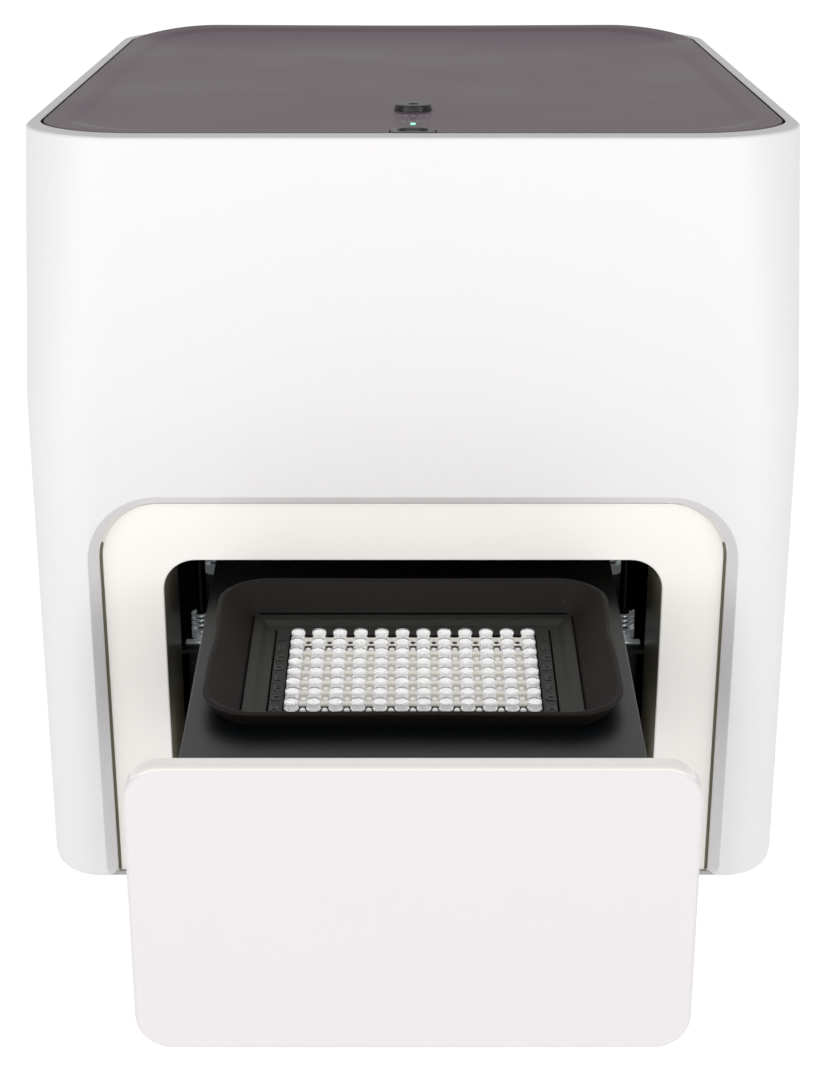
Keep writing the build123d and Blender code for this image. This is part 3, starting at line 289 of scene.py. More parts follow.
slotFinish = {
    "casing_white": "housing", "fascia_white": "fascia", "panel_grey": "panel", "deck_black": "deck",
    "collar_rubber": "silicone", "bezel_olive": "bezel", "button_black": "button", "tube_clear": "tube",
    "sheet_steel": "sheetSteel", "black_steel": "blackSteel", "bright_steel": "brightSteel",
    "aluminium": "aluminium", "anodised": "anodised", "fan_black": "fanPlastic",
    "inlet_black": "inletPlastic", "brass_pins": "brass", "circuit_green": "circuit",
    "feet_rubber": "rubber", "glass_clear": "tube", "peltier_ceramic": "ceramic",
    "pinion_brass": "brass", "rack_nylon": "nylon", "light_pipe": "lampOff",
}
slotOfNode = {part["node"]: part["material_slot"] for part in frame["record"]["subparts"]}
for name, cadObject in nodes.items():
    for index in range(max(1, len(cadObject.material_slots))):
        if not cadObject.material_slots:
            cadObject.data.materials.append(None)
        cadObject.material_slots[index].material = finish[slotFinish[slotOfNode.get(name, "sheet_steel")]]
# blackened posts, bright only at the collars that buildSprings adds; the collars' glow is a painted highlight
nodes["guide_posts"].material_slots[0].material = finish["anodised"]
print("materials ready")


def corneredOutline(left, right, low, high, radii, steps=12, sides=1):
    # anticlockwise from the lower right corner; sides adds points along the straight stretches
    corners = ((right, low, -1, 1, -90), (right, high, -1, -1, 0), (left, high, 1, -1, 90), (left, low, 1, 1, 180))
    arcs = []
    for (x, y, inX, inY, start), radius in zip(corners, radii):
        turns = [math.radians(start + 90 * step / steps) for step in range(steps + 1)]
        arcs.append([(x + inX * radius + radius * math.cos(a), y + inY * radius + radius * math.sin(a))
                     for a in turns])
    points = []
    for arc, following in zip(arcs, arcs[1:] + arcs[:1]):
        points += arc
        (x0, y0), (x1, y1) = arc[-1], following[0]
        points += [(x0 + (x1 - x0) * k / sides, y0 + (y1 - y0) * k / sides) for k in range(1, sides)]
    return points


def roundedOutline(halfWide, halfHigh, radius, steps=12, sides=1, middle=(0, 0)):
    return corneredOutline(middle[0] - halfWide, middle[0] + halfWide, middle[1] - halfHigh,
                           middle[1] + halfHigh, [radius] * 4, steps, sides)


def bent(before, corner, after, steps=4):
    # rings that round a corner: a short quadratic curve for each point
    made = []
    for step in range(steps + 1):
        t = step / steps
        made.append([p.lerp(q, t).lerp(q.lerp(r, t), t) for p, q, r in zip(before, corner, after)])
    return made


def between(first, second, share):
    return [p.lerp(q, share) for p, q in zip(first, second)]


def newObject(name, mesh, material=None):
    piece = bpy.data.objects.new(name, mesh)
    bpy.context.scene.collection.objects.link(piece)
    for each in (material if isinstance(material, (list, tuple)) else [material]):
        if each:
            mesh.materials.append(each)
    return piece


def smoothed(mesh, angle=30):
    mesh.shade_smooth()
    mesh.set_sharp_from_angle(angle=math.radians(angle))


def ringPiece(name, rings, material, closed=False, caps=True, angle=30):
    # rings of equal count, joined in order; closed joins the last to the first
    count = len(rings[0])
    vertices = [point for ring in rings for point in ring]
    spans = [(i, (i + 1) % len(rings)) for i in range(len(rings) if closed else len(rings) - 1)]
    faces = [(i * count + k, i * count + (k + 1) % count, j * count + (k + 1) % count, j * count + k)
             for i, j in spans for k in range(count)]
    if caps and not closed:
        faces.append(tuple(reversed(range(count))))
        faces.append(tuple(range((len(rings) - 1) * count, len(rings) * count)))
    mesh = bpy.data.meshes.new(name)
    mesh.from_pydata(vertices, [], faces)
    tidyMesh(mesh)
    smoothed(mesh, angle)
    return newObject(name, mesh, material)


def tidyMesh(mesh, weld=0.00001):
    work = bmesh.new()
    work.from_mesh(mesh)
    bmesh.ops.remove_doubles(work, verts=work.verts, dist=weld)
    bmesh.ops.recalc_face_normals(work, faces=work.faces)
    work.to_mesh(mesh)
    work.free()


def settle(piece, angle=30):
    # the evaluated result becomes the piece's own plain mesh
    graph = bpy.context.evaluated_depsgraph_get()
    mesh = bpy.data.meshes.new_from_object(piece.evaluated_get(graph), depsgraph=graph)
    piece.modifiers.clear()
    piece.data = mesh
    smoothed(mesh, angle)
    return piece


def cutWith(piece, cutter, angle=30):
    cut = piece.modifiers.new("cut", "BOOLEAN")
    cut.operation = "DIFFERENCE"
    cut.solver = "EXACT"
    cut.object = cutter
    settle(piece, angle)
    bpy.data.objects.remove(cutter)
    return piece


def weighted(piece):
    # flat faces keep flat shading beside their rounded edges
    modifier = piece.modifiers.new("normals", "WEIGHTED_NORMAL")
    modifier.keep_sharp = True
    return piece


def hand(piece, body, slot=None, *replaced):
    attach(piece, body)
    if replaced:
        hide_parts(*replaced)
    return piece


def wallRings():
    # the casing's wall at a share of its height: 0 bottom, 1 crease, 2 rim
    def ring(share, inset):
        half, depth = casing["halfWidth"], casing["depth"] / 2
        low, high = casing["footHeight"], casing["creaseHeight"]
        level = [(half, depth, casing["cornerBottom"]), (half, depth, casing["cornerCrease"])]
        made = [
            [place(x, y + depth, z) for x, y in
             roundedOutline(w - inset, d - inset, max(c - inset, 1), 16)]
            for (w, d, c), z in zip(level, (low, high))
        ]
        if share <= 1:
            return between(made[0], made[1], share)
        rim = [onRim(x, y + rimLength / 2) for x, y in roundedOutline(
            casing["halfWidth"] - casing["rimInset"] - inset, rimLength / 2 - inset, casing["cornerRim"] - inset, 16)]
        return between(made[1], rim, share - 1)
    return ring


casingRing = wallRings()


def rimRing(inset, rise):
    half = casing["halfWidth"] - casing["rimInset"] - inset
    outline = roundedOutline(half, rimLength / 2 - inset, casing["cornerRim"] - inset, 16)
    return [onRim(x, y + rimLength / 2, rise) for x, y in outline]


openingHalf = casing["halfWidth"] - casing["rimInset"] - casing["rimWidth"]
openingEnd = rimLength - casing["rimWidth"]
openingCorner = casing["cornerRim"] - casing["rimWidth"]


def openingRing(inset, rise, steps=16):
    outline = corneredOutline(-openingHalf + inset, openingHalf - inset, casing["rimLedge"] + inset,
                              openingEnd - inset, [max(openingCorner - inset, 1)] * 4, steps)
    return [onRim(x, y, rise) for x, y in outline]


def archOutline(margin, y, low=-4.0):
    # the arch widened by margin; its legs turn out at the bottom
    half, top, corner = casing["archHalf"] + margin, casing["archTop"] + margin, casing["archCorner"] + margin
    radius = max(casing["legRound"] - margin, 0.3)
    foot = casing["footHeight"] + casing["legRound"]
    points = [(half + radius, low)]
    for step in range(9):
        angle = math.radians(270 - 90 * step / 8)
        points.append((half + radius + radius * math.cos(angle), foot + radius * math.sin(angle)))
    for step in range(13):
        angle = math.radians(90 * step / 12)
        points.append((half - corner + corner * math.cos(angle), top - corner + corner * math.sin(angle)))
    points += [(-x, z) for x, z in reversed(points)]
    return [place(x, y, z) for x, z in points]


def buildHousing():
    low, high = casing["footHeight"], casing["creaseHeight"]
    rise = high - low
    rings = []
    radius = casing["bottomRound"]
    thin = math.asin(1 - (casing["wall"] - 0.3) / radius)  # the rounding runs out at the inside wall
    for step in range(7):
        angle = thin + (math.radians(90) - thin) * step / 6
        rings.append(casingRing(radius * (1 - math.cos(angle)) / rise, radius * (1 - math.sin(angle))))
    share = casing["creaseRound"] / rise
    rings += bent(casingRing(1 - share, 0), casingRing(1, 0), casingRing(1 + 2 * share, 0), 6)
    roundOff = casing["rimRound"]
    lean = (casing["rimHeight"] - high)
    rings += bent(casingRing(2 - roundOff / lean, 0), rimRing(0, 0), rimRing(roundOff, 0), 5)
    rings += bent(openingRing(-0.9, 0), openingRing(0, 0), openingRing(0, -0.9), 4)
    rings.append(openingRing(0, -casing["ledgeThick"]))
    wall = casing["wall"]
    rings.append(rimRing(wall - 0.4, -casing["ledgeThick"]))
    rings.append(casingRing(1, wall))
    rings.append(casingRing(radius * (1 - math.cos(thin)) / rise, wall))
    housing = ringPiece("outer_housing_shell", rings, [finish["housing"], finish["insideShade"]], closed=True)
    bevel = casing["archBevel"]
    profile = [(-2.0, bevel + 2.4), (-0.25, bevel + 0.65), (0.1, bevel + 0.15), (0.55, bevel - 0.5),
               (bevel - 0.7, 0.75), (bevel - 0.15, 0.3), (bevel + 0.3, 0.08), (bevel + 0.8, 0.0), (9.0, 0.0)]
    cutter = ringPiece("arch_cutter", [archOutline(margin, y) for y, margin in profile], None)
    cutWith(housing, cutter)
    depth = casing["depth"]
    middle = (0, (casing["rearLow"] + casing["rearHigh"]) / 2)
    rear = roundedOutline(casing["rearHalf"], (casing["rearHigh"] - casing["rearLow"]) / 2, 8.0, 8, middle=middle)
    cutter = ringPiece("rear_cutter", [[place(x, y, z) for x, z in rear] for y in (depth - 9, depth + 2)], None)
    cutWith(housing, cutter)
    # inward faces, and faces turned down high in the casing, take the black: painted shade inside the casing; the
    # arch stays white
    centre = place(0, depth / 2, 0)
    for face in housing.data.polygons:
        middle = face.center - centre
        inward = face.normal.xy.dot(middle.xy) < 0 and abs(face.normal.z) < 0.5
        under = face.normal.z < -0.5 and face.center.z > 0.1
        if (inward or under) and not archFace(face):
            face.material_index = 1
    weighted(housing)
    return hand(housing, "root", "casing_white", "outer_housing")


def archFace(face):
    # the arch's own bevel and edge stay white
    y = (face.center.y - frontFace) / mm
    return y < casing["wall"] - 0.2


def buildFascia():
    bay = {"half": 111.2, "low": 40.0, "high": 171.0, "corner": 14.5}
    face, thick, flange, seat, sleeve, sleeveWall, edge = 7.0, 3.0, 6.0, 0.8, 58.0, 2.5, 0.8
    groove = 1.1
    base = casing["footHeight"] + 2.0

    def outer(margin, y):
        half = casing["archHalf"] + margin
        corner = casing["archCorner"] + margin
        outline = corneredOutline(-half, half, base, casing["archTop"] + margin, (0.5, corner, corner, 0.5), 12)
        return [place(x, y, z) for x, z in outline]

    def hole(margin, y):
        half = bay["half"] + margin
        outline = corneredOutline(-half, half, bay["low"] - margin, bay["high"] + margin,
                                  [bay["corner"] + margin] * 4, 12)
        return [place(x, y, z) for x, z in outline]

    rings = [outer(flange, face + thick), outer(flange, casing["wall"] + seat), outer(0.4, casing["wall"] + seat),
             outer(0.4, face + groove), outer(-groove, face + groove)]
    rings += bent(outer(-groove, face + 0.3), outer(-groove, face), outer(-groove - 0.3, face), 3)
    rings += bent(hole(edge, face), hole(0, face), hole(0, face + edge), 4)
    rings += [hole(0, face + sleeve), hole(sleeveWall, face + sleeve), hole(sleeveWall, face + thick)]
    fascia = ringPiece("front_fascia_panel", rings, [finish["fascia"], finish["grooveShadow"], finish["sleeve"]],
                       closed=True)
    for each in fascia.data.polygons:
        depth = (each.center.y - frontFace) / mm
        # faces deep in the bay take the darker olive grey: painted shade
        if depth > face + edge + 0.5 and abs(each.center.x) / mm < bay["half"] + sleeveWall + 0.1:
            each.material_index = 2
        # the groove's faces round the arch take the dark olive: painted shadow
        offMiddle = max(abs(each.center.x) / mm - casing["archHalf"], each.center.z / mm - casing["archTop"])
        if offMiddle > -groove - 0.05 and depth > face + 0.35 and depth < face + thick - 0.2:
            each.material_index = 1
    weighted(fascia)
    return hand(fascia, "root", "fascia_white", "front_fascia")


def buildTopPanel():
    # a flat border, a shallow dish, and a rear end that sweeps up into a lip round both rear corners
    panel = {"gap": 1.0, "drop": 0.1, "thick": 3.0, "border": 8.0, "dish": 1.2, "step": 9.0, "edge": 0.7,
             "sweep": 95.0, "lip": 4.2, "sag": 0.5, "cornerKept": 0.55}
    cornerStart = openingEnd - openingCorner

    def level(inset, rise, lifted=True):
        corner = max(openingCorner - inset * panel["cornerKept"], 6.0)
        outline = corneredOutline(-openingHalf + inset, openingHalf - inset, casing["rimLedge"] + inset,
                                  openingEnd - inset, [corner] * 4, 16, 6)
        outer = corneredOutline(-openingHalf, openingHalf, casing["rimLedge"], openingEnd,
                                [openingCorner] * 4, 16, 6)
        made = []
        for (x, y), (outerX, outerY) in zip(outline, outer):
            rearward = max(0.0, min(1.0, (outerY - cornerStart) / openingCorner)) ** 1.1
            near = max(0.0, 1 - (openingEnd - y) / panel["sweep"]) ** 2.1
            sag = panel["sag"] * math.cos(math.pi * max(-1, min(1, outerX / openingHalf)) / 2) ** 2
            made.append(onRim(x, y, rise + (rearward * near * (panel["lip"] - sag) if lifted else 0)))
        return made

    top = -panel["drop"]
    rings = [level(panel["gap"], -panel["drop"] - panel["thick"], False)]
    rings += bent(level(panel["gap"], top - panel["edge"]), level(panel["gap"], top),
                  level(panel["gap"] + panel["edge"], top), 4)
    start = panel["gap"] + panel["border"]
    rings += [level(panel["gap"] + 2.5, top), level(panel["gap"] + 5.0, top)]
    for step in range(9):
        t = step / 8
        smooth = t * t * (3 - 2 * t)
        rings.append(level(start + panel["step"] * t, top - panel["dish"] * smooth))
    for inset in (24, 31, 39, 48, 58, 69, 81, 94):
        rings.append(level(inset, top - panel["dish"]))
    piece = ringPiece("top_cover", rings, finish["panel"], angle=40)
    for name, outline in (("round", [(8.65 * math.cos(a), 96 + 8.65 * math.sin(a))
                                     for a in [math.tau * k / 48 for k in range(48)]]),
                          ("dee", deeOutline(0.35))):
        cutter = ringPiece("cutter_" + name, [[onRim(x, y, rise) for x, y in outline] for rise in (-9, 4)], None)
        cutWith(piece, cutter, 40)
    weighted(piece)
    return hand(piece, "root", "panel_grey", "top_panel")


def deeOutline(margin=0.0, steps=24):
    # straight towards the panel's front edge, one arc behind
    half, near, far = 9.6 + margin, 15.4 - margin, 31.5 + margin
    points = [(-half, near), (half, near)]
    points += [(half * math.cos(a), near + 6.0 + (far - near - 6.0) * math.sin(a))
               for a in [math.pi * k / steps for k in range(steps + 1)]]
    return points


def buildButtons():
    power = []
    radius = 8.3
    for r, rise in ((radius, -3.5), (radius, 0.6), (radius - 0.15, 1.05), (radius - 0.6, 1.35), (radius - 1.2, 1.4),
                    (2.6, 1.3), (2.2, 0.9), (1.0, 0.7)):
        power.append([onRim(r * math.cos(a), 96 + r * math.sin(a), rise)
                      for a in [math.tau * k / 48 for k in range(48)]])
    hand(ringPiece("round_button_cap", power, finish["button"]), "round_button", "button_black", "power_button")
    levels = [(0.0, -4.5), (0.0, -0.5), (-0.3, -0.1), (-0.9, 0.0), (-2.6, 0.0), (-4.0, -0.7), (-6.0, -0.95)]
    rings = [[onRim(x, y, rise) for x, y in deeOutline(margin)] for margin, rise in levels]
    hand(ringPiece("drawer_button_cap", rings, finish["button"]), "drawer_button", "button_black", "eject_button")


def buildDrawerFront():
    door = {"half": 109.1, "low": 42.1, "high": 168.9, "corner": 14.5, "thick": 9.2, "edge": 1.1, "bevel": 2.4}
    faceY = -174.3

    def ring(margin, y):
        half = door["half"] - margin
        outline = corneredOutline(-half, half, door["low"] + margin, door["high"] - margin,
                                  [door["corner"] - margin] * 4, 14)
        return [place(x, y, z) for x, z in outline]

    rings = bent(ring(0.8, faceY + door["thick"]), ring(0, faceY + door["thick"]),
                 ring(0, faceY + door["thick"] - 0.8), 3)
    rings += bent(ring(0, faceY + door["bevel"]), ring(0, faceY), ring(door["bevel"], faceY), 7)
    front = ringPiece("drawer_front_plate", rings, [finish["door"], finish["fascia"]])
    # upward faces take the fascia's whiter, faintly glowing white, a painted highlight along the top; the rest keep
    # the greyer door white, painted shade
    for each in front.data.polygons:
        each.material_index = 1 if each.normal.z > 0.6 else 0
    weighted(front)
    return hand(front, "drawer", "fascia_white", "drawer_front")


def buildCollar():
    collar = {"half": 84.6, "wide": 63.0, "corner": 22.0, "top": 165.6, "deck": 157.2, "undercut": 6.0,
              "throatHalf": 69.75, "throatWide": 52.0, "throatCorner": 4.0, "throatTop": 152.0,
              "centre": -61.8, "pull": 1.1, "pullY": -55.0, "pullSpread": 14.0}

    def ring(half, wide, corner, z, pull):
        points = roundedOutline(half, wide, corner, 12, 14, middle=(0, collar["centre"]))
        made = []
        for x, y in points:
            # the long soft walls sag inwards between their corners
            along = math.exp(-((y - collar["pullY"]) / collar["pullSpread"]) ** 2)
            across = math.cos(math.pi * max(-1, min(1, x / half)) / 2) ** 2
            x -= math.copysign(pull * along, x) if abs(x) > half - corner else 0
            y -= math.copysign(pull * 0.5 * across, y - collar["centre"]) \
                if abs(y - collar["centre"]) > wide - corner else 0
            made.append(place(x, y, z))
        return made

    half, wide, corner, top, under = (collar[k] for k in ("half", "wide", "corner", "top", "undercut"))
    pull = collar["pull"]
    rings = [ring(half - under, wide - under, corner - under, collar["throatTop"], 0),
             ring(half - under, wide - under, corner - under, collar["deck"] + 0.2, 0),
             ring(half - 2.6, wide - 2.6, corner - 2.6, top - 5.4, pull * 0.6),
             ring(half - 0.5, wide - 0.5, corner - 0.5, top - 2.0, pull),
             ring(half, wide, corner, top - 1.1, pull), ring(half - 0.1, wide - 0.1, corner, top - 0.5, pull),
             ring(half - 0.6, wide - 0.6, corner, top - 0.1, pull), ring(half - 1.3, wide - 1.3, corner, top, pull),
             ring(half - 2.0, wide - 2.0, corner - 1, top - 0.3, pull),
             ring(half - 2.6, wide - 2.6, corner - 2, top - 1.1, pull)]
    steep = (collar["throatHalf"], collar["throatWide"], collar["throatCorner"])
    for share in (0.25, 0.6, 0.92, 1.0):
        level = [a + (b - a) * share for a, b in zip((half - 3.0, wide - 3.0, corner - 2.5), steep)]
        z = top - 1.9 + (collar["throatTop"] - top + 1.9) * share
        rings.append(ring(*level, z, pull * (1 - share)))
    piece = ringPiece("collar_seal", rings, finish["silicone"], closed=True, angle=50)
    return hand(piece, "drawer", "collar_rubber", "collar")


def roundedBox(name, low, high, edge, material, segments=2):
    # a block between two places with rounded edges
    mesh = bpy.data.meshes.new(name)
    work = bmesh.new()
    bmesh.ops.create_cube(work, size=1.0)
    for vertex in work.verts:
        vertex.co = Vector(low[i] + (high[i] - low[i]) * (vertex.co[i] + 0.5) for i in range(3))
    bmesh.ops.bevel(work, geom=work.edges[:] + work.verts[:], offset=edge * mm, segments=segments, profile=0.5,
                    affect="EDGES")
    work.to_mesh(mesh)
    work.free()
    smoothed(mesh, 40)
    return newObject(name, mesh, material)


grid = {"columns": 12, "rows": 8, "pitch": 9.0, "centre": -61.8}


def gridPlaces(columns, rows, z=0.0, shift=0.0):
    startX, startY = -(columns - 1) / 2 * grid["pitch"], -(rows - 1) / 2 * grid["pitch"]
    return [place(startX + c * grid["pitch"], grid["centre"] + shift + startY + r * grid["pitch"], z)
            for c in range(columns) for r in range(rows)]


def turned(name, profile, material, sides=20, angle=30, caps=True):
    # a lathe-turned piece about its own upright axis
    rings = [[Vector((r * mm * math.cos(a), r * mm * math.sin(a), z * mm))
              for a in [math.tau * k / sides for k in range(sides)]] for r, z in profile]
    return ringPiece(name, rings, material, caps=caps, angle=angle)


def buildTubes():
    # a clear tapered body under a clear cap; the cap's milky cup shows through its wall
    everyWell = gridPlaces(grid["columns"], grid["rows"])
    body = [(0.9, 134.0), (1.5, 134.6), (2.35, 144.0), (2.6, 149.6), (2.65, 150.6), (2.1, 150.6)]
    source = turned("body_source", body, finish["clear"], 24)
    hand(copiesAt("tube_bodies", source, everyWell, finish["clear"]), "tubes", "tube_clear", "tube_strips")
    cap = [(2.75, 150.75), (3.05, 150.9), (3.05, 151.3), (2.8, 151.5), (2.85, 152.4), (3.0, 153.2), (3.0, 154.25),
           (2.92, 154.5), (2.74, 154.6), (2.55, 154.52), (2.4, 154.1), (2.0, 153.4), (1.4, 153.1), (0.6, 153.05)]
    source = turned("cap_source", cap, finish["clear"], 28)
    hand(copiesAt("tube_caps", source, everyWell, finish["clear"]), "tubes", "tube_clear")
    cup = [(1.2, 151.0), (1.5, 151.1), (1.6, 152.3), (1.7, 152.8), (2.2, 153.3), (2.62, 154.0), (2.56, 154.1),
           (2.2, 153.5), (1.7, 152.95), (1.1, 152.8), (0.5, 152.75)]
    source = turned("cup_source", cup, finish["tube"], 24)
    hand(copiesAt("cap_cups", source, everyWell, finish["tube"]), "tubes", "tube_clear")


def buildWeb():
    # the thin sheet that joins the tubes: a bowed arm between each four, open beside every tube
    web = {"top": 151.2, "thick": 0.7, "half": 2.9, "arm": 1.15, "bow": 1.0}
    steps = 10

    def arm(near, far, bowNear, bowFar):
        xs = [-web["half"] + 2 * web["half"] * k / steps for k in range(steps + 1)]
        flare = [(abs(x) / web["half"]) ** 2 for x in xs]
        outline = [(x, near - bowNear * f) for x, f in zip(xs, flare)]
        outline += [(x, far + bowFar * f) for x, f in reversed(list(zip(xs, flare)))]
        rings = []
        for inset, z in ((0, web["top"] - web["thick"]), (0, web["top"] - 0.12), (0.12, web["top"])):
            rings.append([Vector((x * mm * (1 - inset * 0.1), (y + (inset if y < (near + far) / 2 else -inset)) * mm,
                                  z * mm)) for x, y in outline])
        return rings

    bridge = ringPiece("arm_source", arm(-web["arm"], web["arm"], web["bow"], web["bow"] * 0.6), finish["web"])
    places = gridPlaces(grid["columns"] - 1, grid["rows"] - 2, shift=-grid["pitch"] / 2)
    hand(copiesAt("web_arms", bridge, places, finish["web"]), "tubes", "tube_clear")
    sheet = ringPiece("sheet_source", arm(-6.1, 0.6, 1.2, 0.4), finish["web"])
    hole = ringPiece("hole", [[Vector((1.25 * mm * math.cos(a), (-4.0 + 1.7 * math.sin(a)) * mm, z * mm))
                               for a in [math.tau * k / 20 for k in range(20)]] for z in (149, 153)], None)
    cutWith(sheet, hole)
    places = [place(p.x / mm, 0, 0) for p in gridPlaces(grid["columns"] - 1, 1)]
    rear = grid["centre"] + (grid["rows"] - 1) / 2 * grid["pitch"]
    places = [place(p.x / mm, rear, 0) for p in places]
    hand(copiesAt("web_rear", sheet, places, finish["web"]), "tubes", "tube_clear")
    pin = turned("pin_source", [(1.3, 148.2), (1.3, 149.9), (1.15, 150.4), (0.8, 150.75), (0.3, 150.9)],
                 finish["tube"], 16)
    places = gridPlaces(grid["columns"] - 1, grid["rows"] - 1, shift=-grid["pitch"] / 2)
    hand(copiesAt("web_pins", pin, places, finish["tube"]), "tubes", "tube_clear")
    # the lower deck of the same sheet, open behind row B and in front of row G; it takes a greyer copy of the web's
    # cream with less glow, painted shade under the arms
    floor = roundedBox("floor_source", Vector((-2.9, -26.0, 149.7)) * mm, Vector((2.9, 23.6, 150.3)) * mm, 0.2,
                       finish["webFloor"])
    places = [place(p.x / mm, grid["centre"] - 2.0, 0) for p in gridPlaces(grid["columns"] - 1, 1)]
    hand(copiesAt("web_floor", floor, places, finish["webFloor"]), "tubes", "tube_clear")


def copyTree():
    # a copy of the source on every point of the mesh, made real, in one finish
    tree = bpy.data.node_groups.new("copies on points", "GeometryNodeTree")
    for label, kind, way in (("Geometry", "NodeSocketGeometry", "INPUT"), ("Source", "NodeSocketObject", "INPUT"),
                             ("Size", "NodeSocketFloat", "INPUT"), ("Finish", "NodeSocketMaterial", "INPUT"),
                             ("Geometry", "NodeSocketGeometry", "OUTPUT")):
        tree.interface.new_socket(label, in_out=way, socket_type=kind)
    given = tree.nodes.new("NodeGroupInput")
    source = addNode(tree, "GeometryNodeObjectInfo", None, {"Object": given.outputs["Source"]})
    copies = addNode(tree, "GeometryNodeInstanceOnPoints", None,
                     {"Points": given.outputs["Geometry"], "Instance": source.outputs["Geometry"],
                      "Scale": given.outputs["Size"]})
    real = addNode(tree, "GeometryNodeRealizeInstances", None, {"Geometry": copies.outputs["Instances"]})
    made = addNode(tree, "GeometryNodeSetMaterial", None,
                   {"Geometry": real.outputs["Geometry"], "Material": given.outputs["Finish"]})
    end = tree.nodes.new("NodeGroupOutput")
    tree.links.new(made.outputs["Geometry"], end.inputs["Geometry"])
    return tree


copiesOnPoints = copyTree()


def copiesAt(name, source, places, material, size=1.0):
    mesh = bpy.data.meshes.new(name + "_points")
    mesh.from_pydata([tuple(p) for p in places], [], [])
    piece = newObject(name, mesh)
    modifier = piece.modifiers.new("copies", "NODES")
    modifier.node_group = copiesOnPoints
    keys = {item.name: item.identifier for item in copiesOnPoints.interface.items_tree
            if item.in_out == "INPUT"}
    modifier[keys["Source"]] = source
    modifier[keys["Size"]] = size
    modifier[keys["Finish"]] = material
    settle(piece)
    bpy.data.objects.remove(source)
    return piece


def buildLiner():
    # the stepped frame between the collar's throat and the lettered plate, mitred at its corners
    liner = {"halfX": 69.6, "halfY": 51.9, "innerX": 59.55, "innerY": 41.8, "centre": -61.8}
    steps = [(0.0, 153.4), (0.0, 152.3), (0.7, 152.0), (3.6, 151.8), (4.2, 151.5), (6.2, 150.4), (6.8, 150.2),
             (9.3, 150.1), (9.7, 149.9), (10.05, 148.6), (10.05, 147.2), (0.0, 147.2)]
    rings = []
    for inset, z in steps:
        share = inset / 10.05
        x = liner["halfX"] + (liner["innerX"] - liner["halfX"]) * share
        y = liner["halfY"] + (liner["innerY"] - liner["halfY"]) * share
        rings.append([place(sx * x, liner["centre"] + sy * y, z) for sx, sy in ((1, -1), (1, 1), (-1, 1), (-1, -1))])
    piece = ringPiece("liner_frame", rings, finish["bezel"], closed=True, angle=12)
    bevel = piece.modifiers.new("edges", "BEVEL")
    bevel.width, bevel.segments, bevel.limit_method = 0.15 * mm, 2, "ANGLE"
    settle(piece, 40)
    weighted(piece)
    return hand(piece, "drawer", "bezel_olive", "collar_bezel")


def buildLetters():
    # row letters, raised on the plate beside the tubes
    letters = {"size": 4.3, "rise": 0.22, "top": 150.5, "x": 56.6, "round": 0.06}
    for index, letter in enumerate("ABCDEFGH"):
        y = grid["centre"] + (3.5 - index) * grid["pitch"]
        for side in (-1, 1):
            curve = bpy.data.curves.new("letter", "FONT")
            curve.body, curve.size, curve.extrude = letter, letters["size"] * mm * 1.38, letters["rise"] * mm
            curve.bevel_depth, curve.bevel_resolution, curve.resolution_u = letters["round"] * mm, 1, 4
            curve.align_x, curve.align_y = "CENTER", "CENTER"
            curve.offset = 0.1 * mm
            holder = bpy.data.objects.new("letter", curve)
            bpy.context.scene.collection.objects.link(holder)
            graph = bpy.context.evaluated_depsgraph_get()
            mesh = bpy.data.meshes.new_from_object(holder.evaluated_get(graph), depsgraph=graph)
            bpy.data.objects.remove(holder)
            mesh.transform(Matrix.Translation(place(side * letters["x"], y, letters["top"])))
            mesh.materials.clear()
            piece = newObject("row_letter_" + letter + ("_left" if side < 0 else "_right"), mesh, finish["button"])
            smoothed(mesh, 40)
            hand(piece, "drawer", "bezel_olive")


def coil(name, x, y, low, high, radius, wire, turns, material, around=12, each=24):
    # a round wire wound upwards, closed at both ends
    rings = []
    total = int(turns * each)
    for step in range(total + 1):
        angle = math.tau * step / each
        share = step / total
        z = low + wire + (high - low - 2 * wire) * share
        out = Vector((math.cos(angle), math.sin(angle), 0))
        rings.append([place(x, y, z + wire * math.sin(b)) + out * (radius + wire * math.cos(b)) * mm
                      for b in [math.tau * k / around for k in range(around)]])
    return ringPiece(name, rings, material, angle=60)


def buildSprings():
    # a short stiff spring over a bright collar at the foot of each guide post cushions the heated lid; both glow
    # faintly, a painted highlight
    low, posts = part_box("guide_posts")[0].z / mm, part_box("guide_posts")
    spring = {"x": 102.5, "low": 5.3, "height": 9.0, "radius": 4.4, "wire": 0.8, "turns": 3, "inset": 5.0,
              "collar": 5.2}
    foot = turned("foot_source", [(2.7, low + 5.2), (spring["collar"], low + 5.2), (spring["collar"], low + 0.2)],
                  finish["springSteel"], 32)
    feet = []
    for side in (-1, 1):
        for end, inward in ((0, spring["inset"]), (1, -spring["inset"])):
            y = (posts[end].y - frontFace) / mm + inward
            piece = coil("post_spring", side * spring["x"], y, low + spring["low"],
                         low + spring["low"] + spring["height"], spring["radius"], spring["wire"], spring["turns"],
                         finish["springSteel"])
            hand(piece, "root", "bright_steel")
            feet.append(place(side * spring["x"], y, 0))
    hand(copiesAt("post_collars", foot, feet, finish["springSteel"]), "root", "bright_steel")


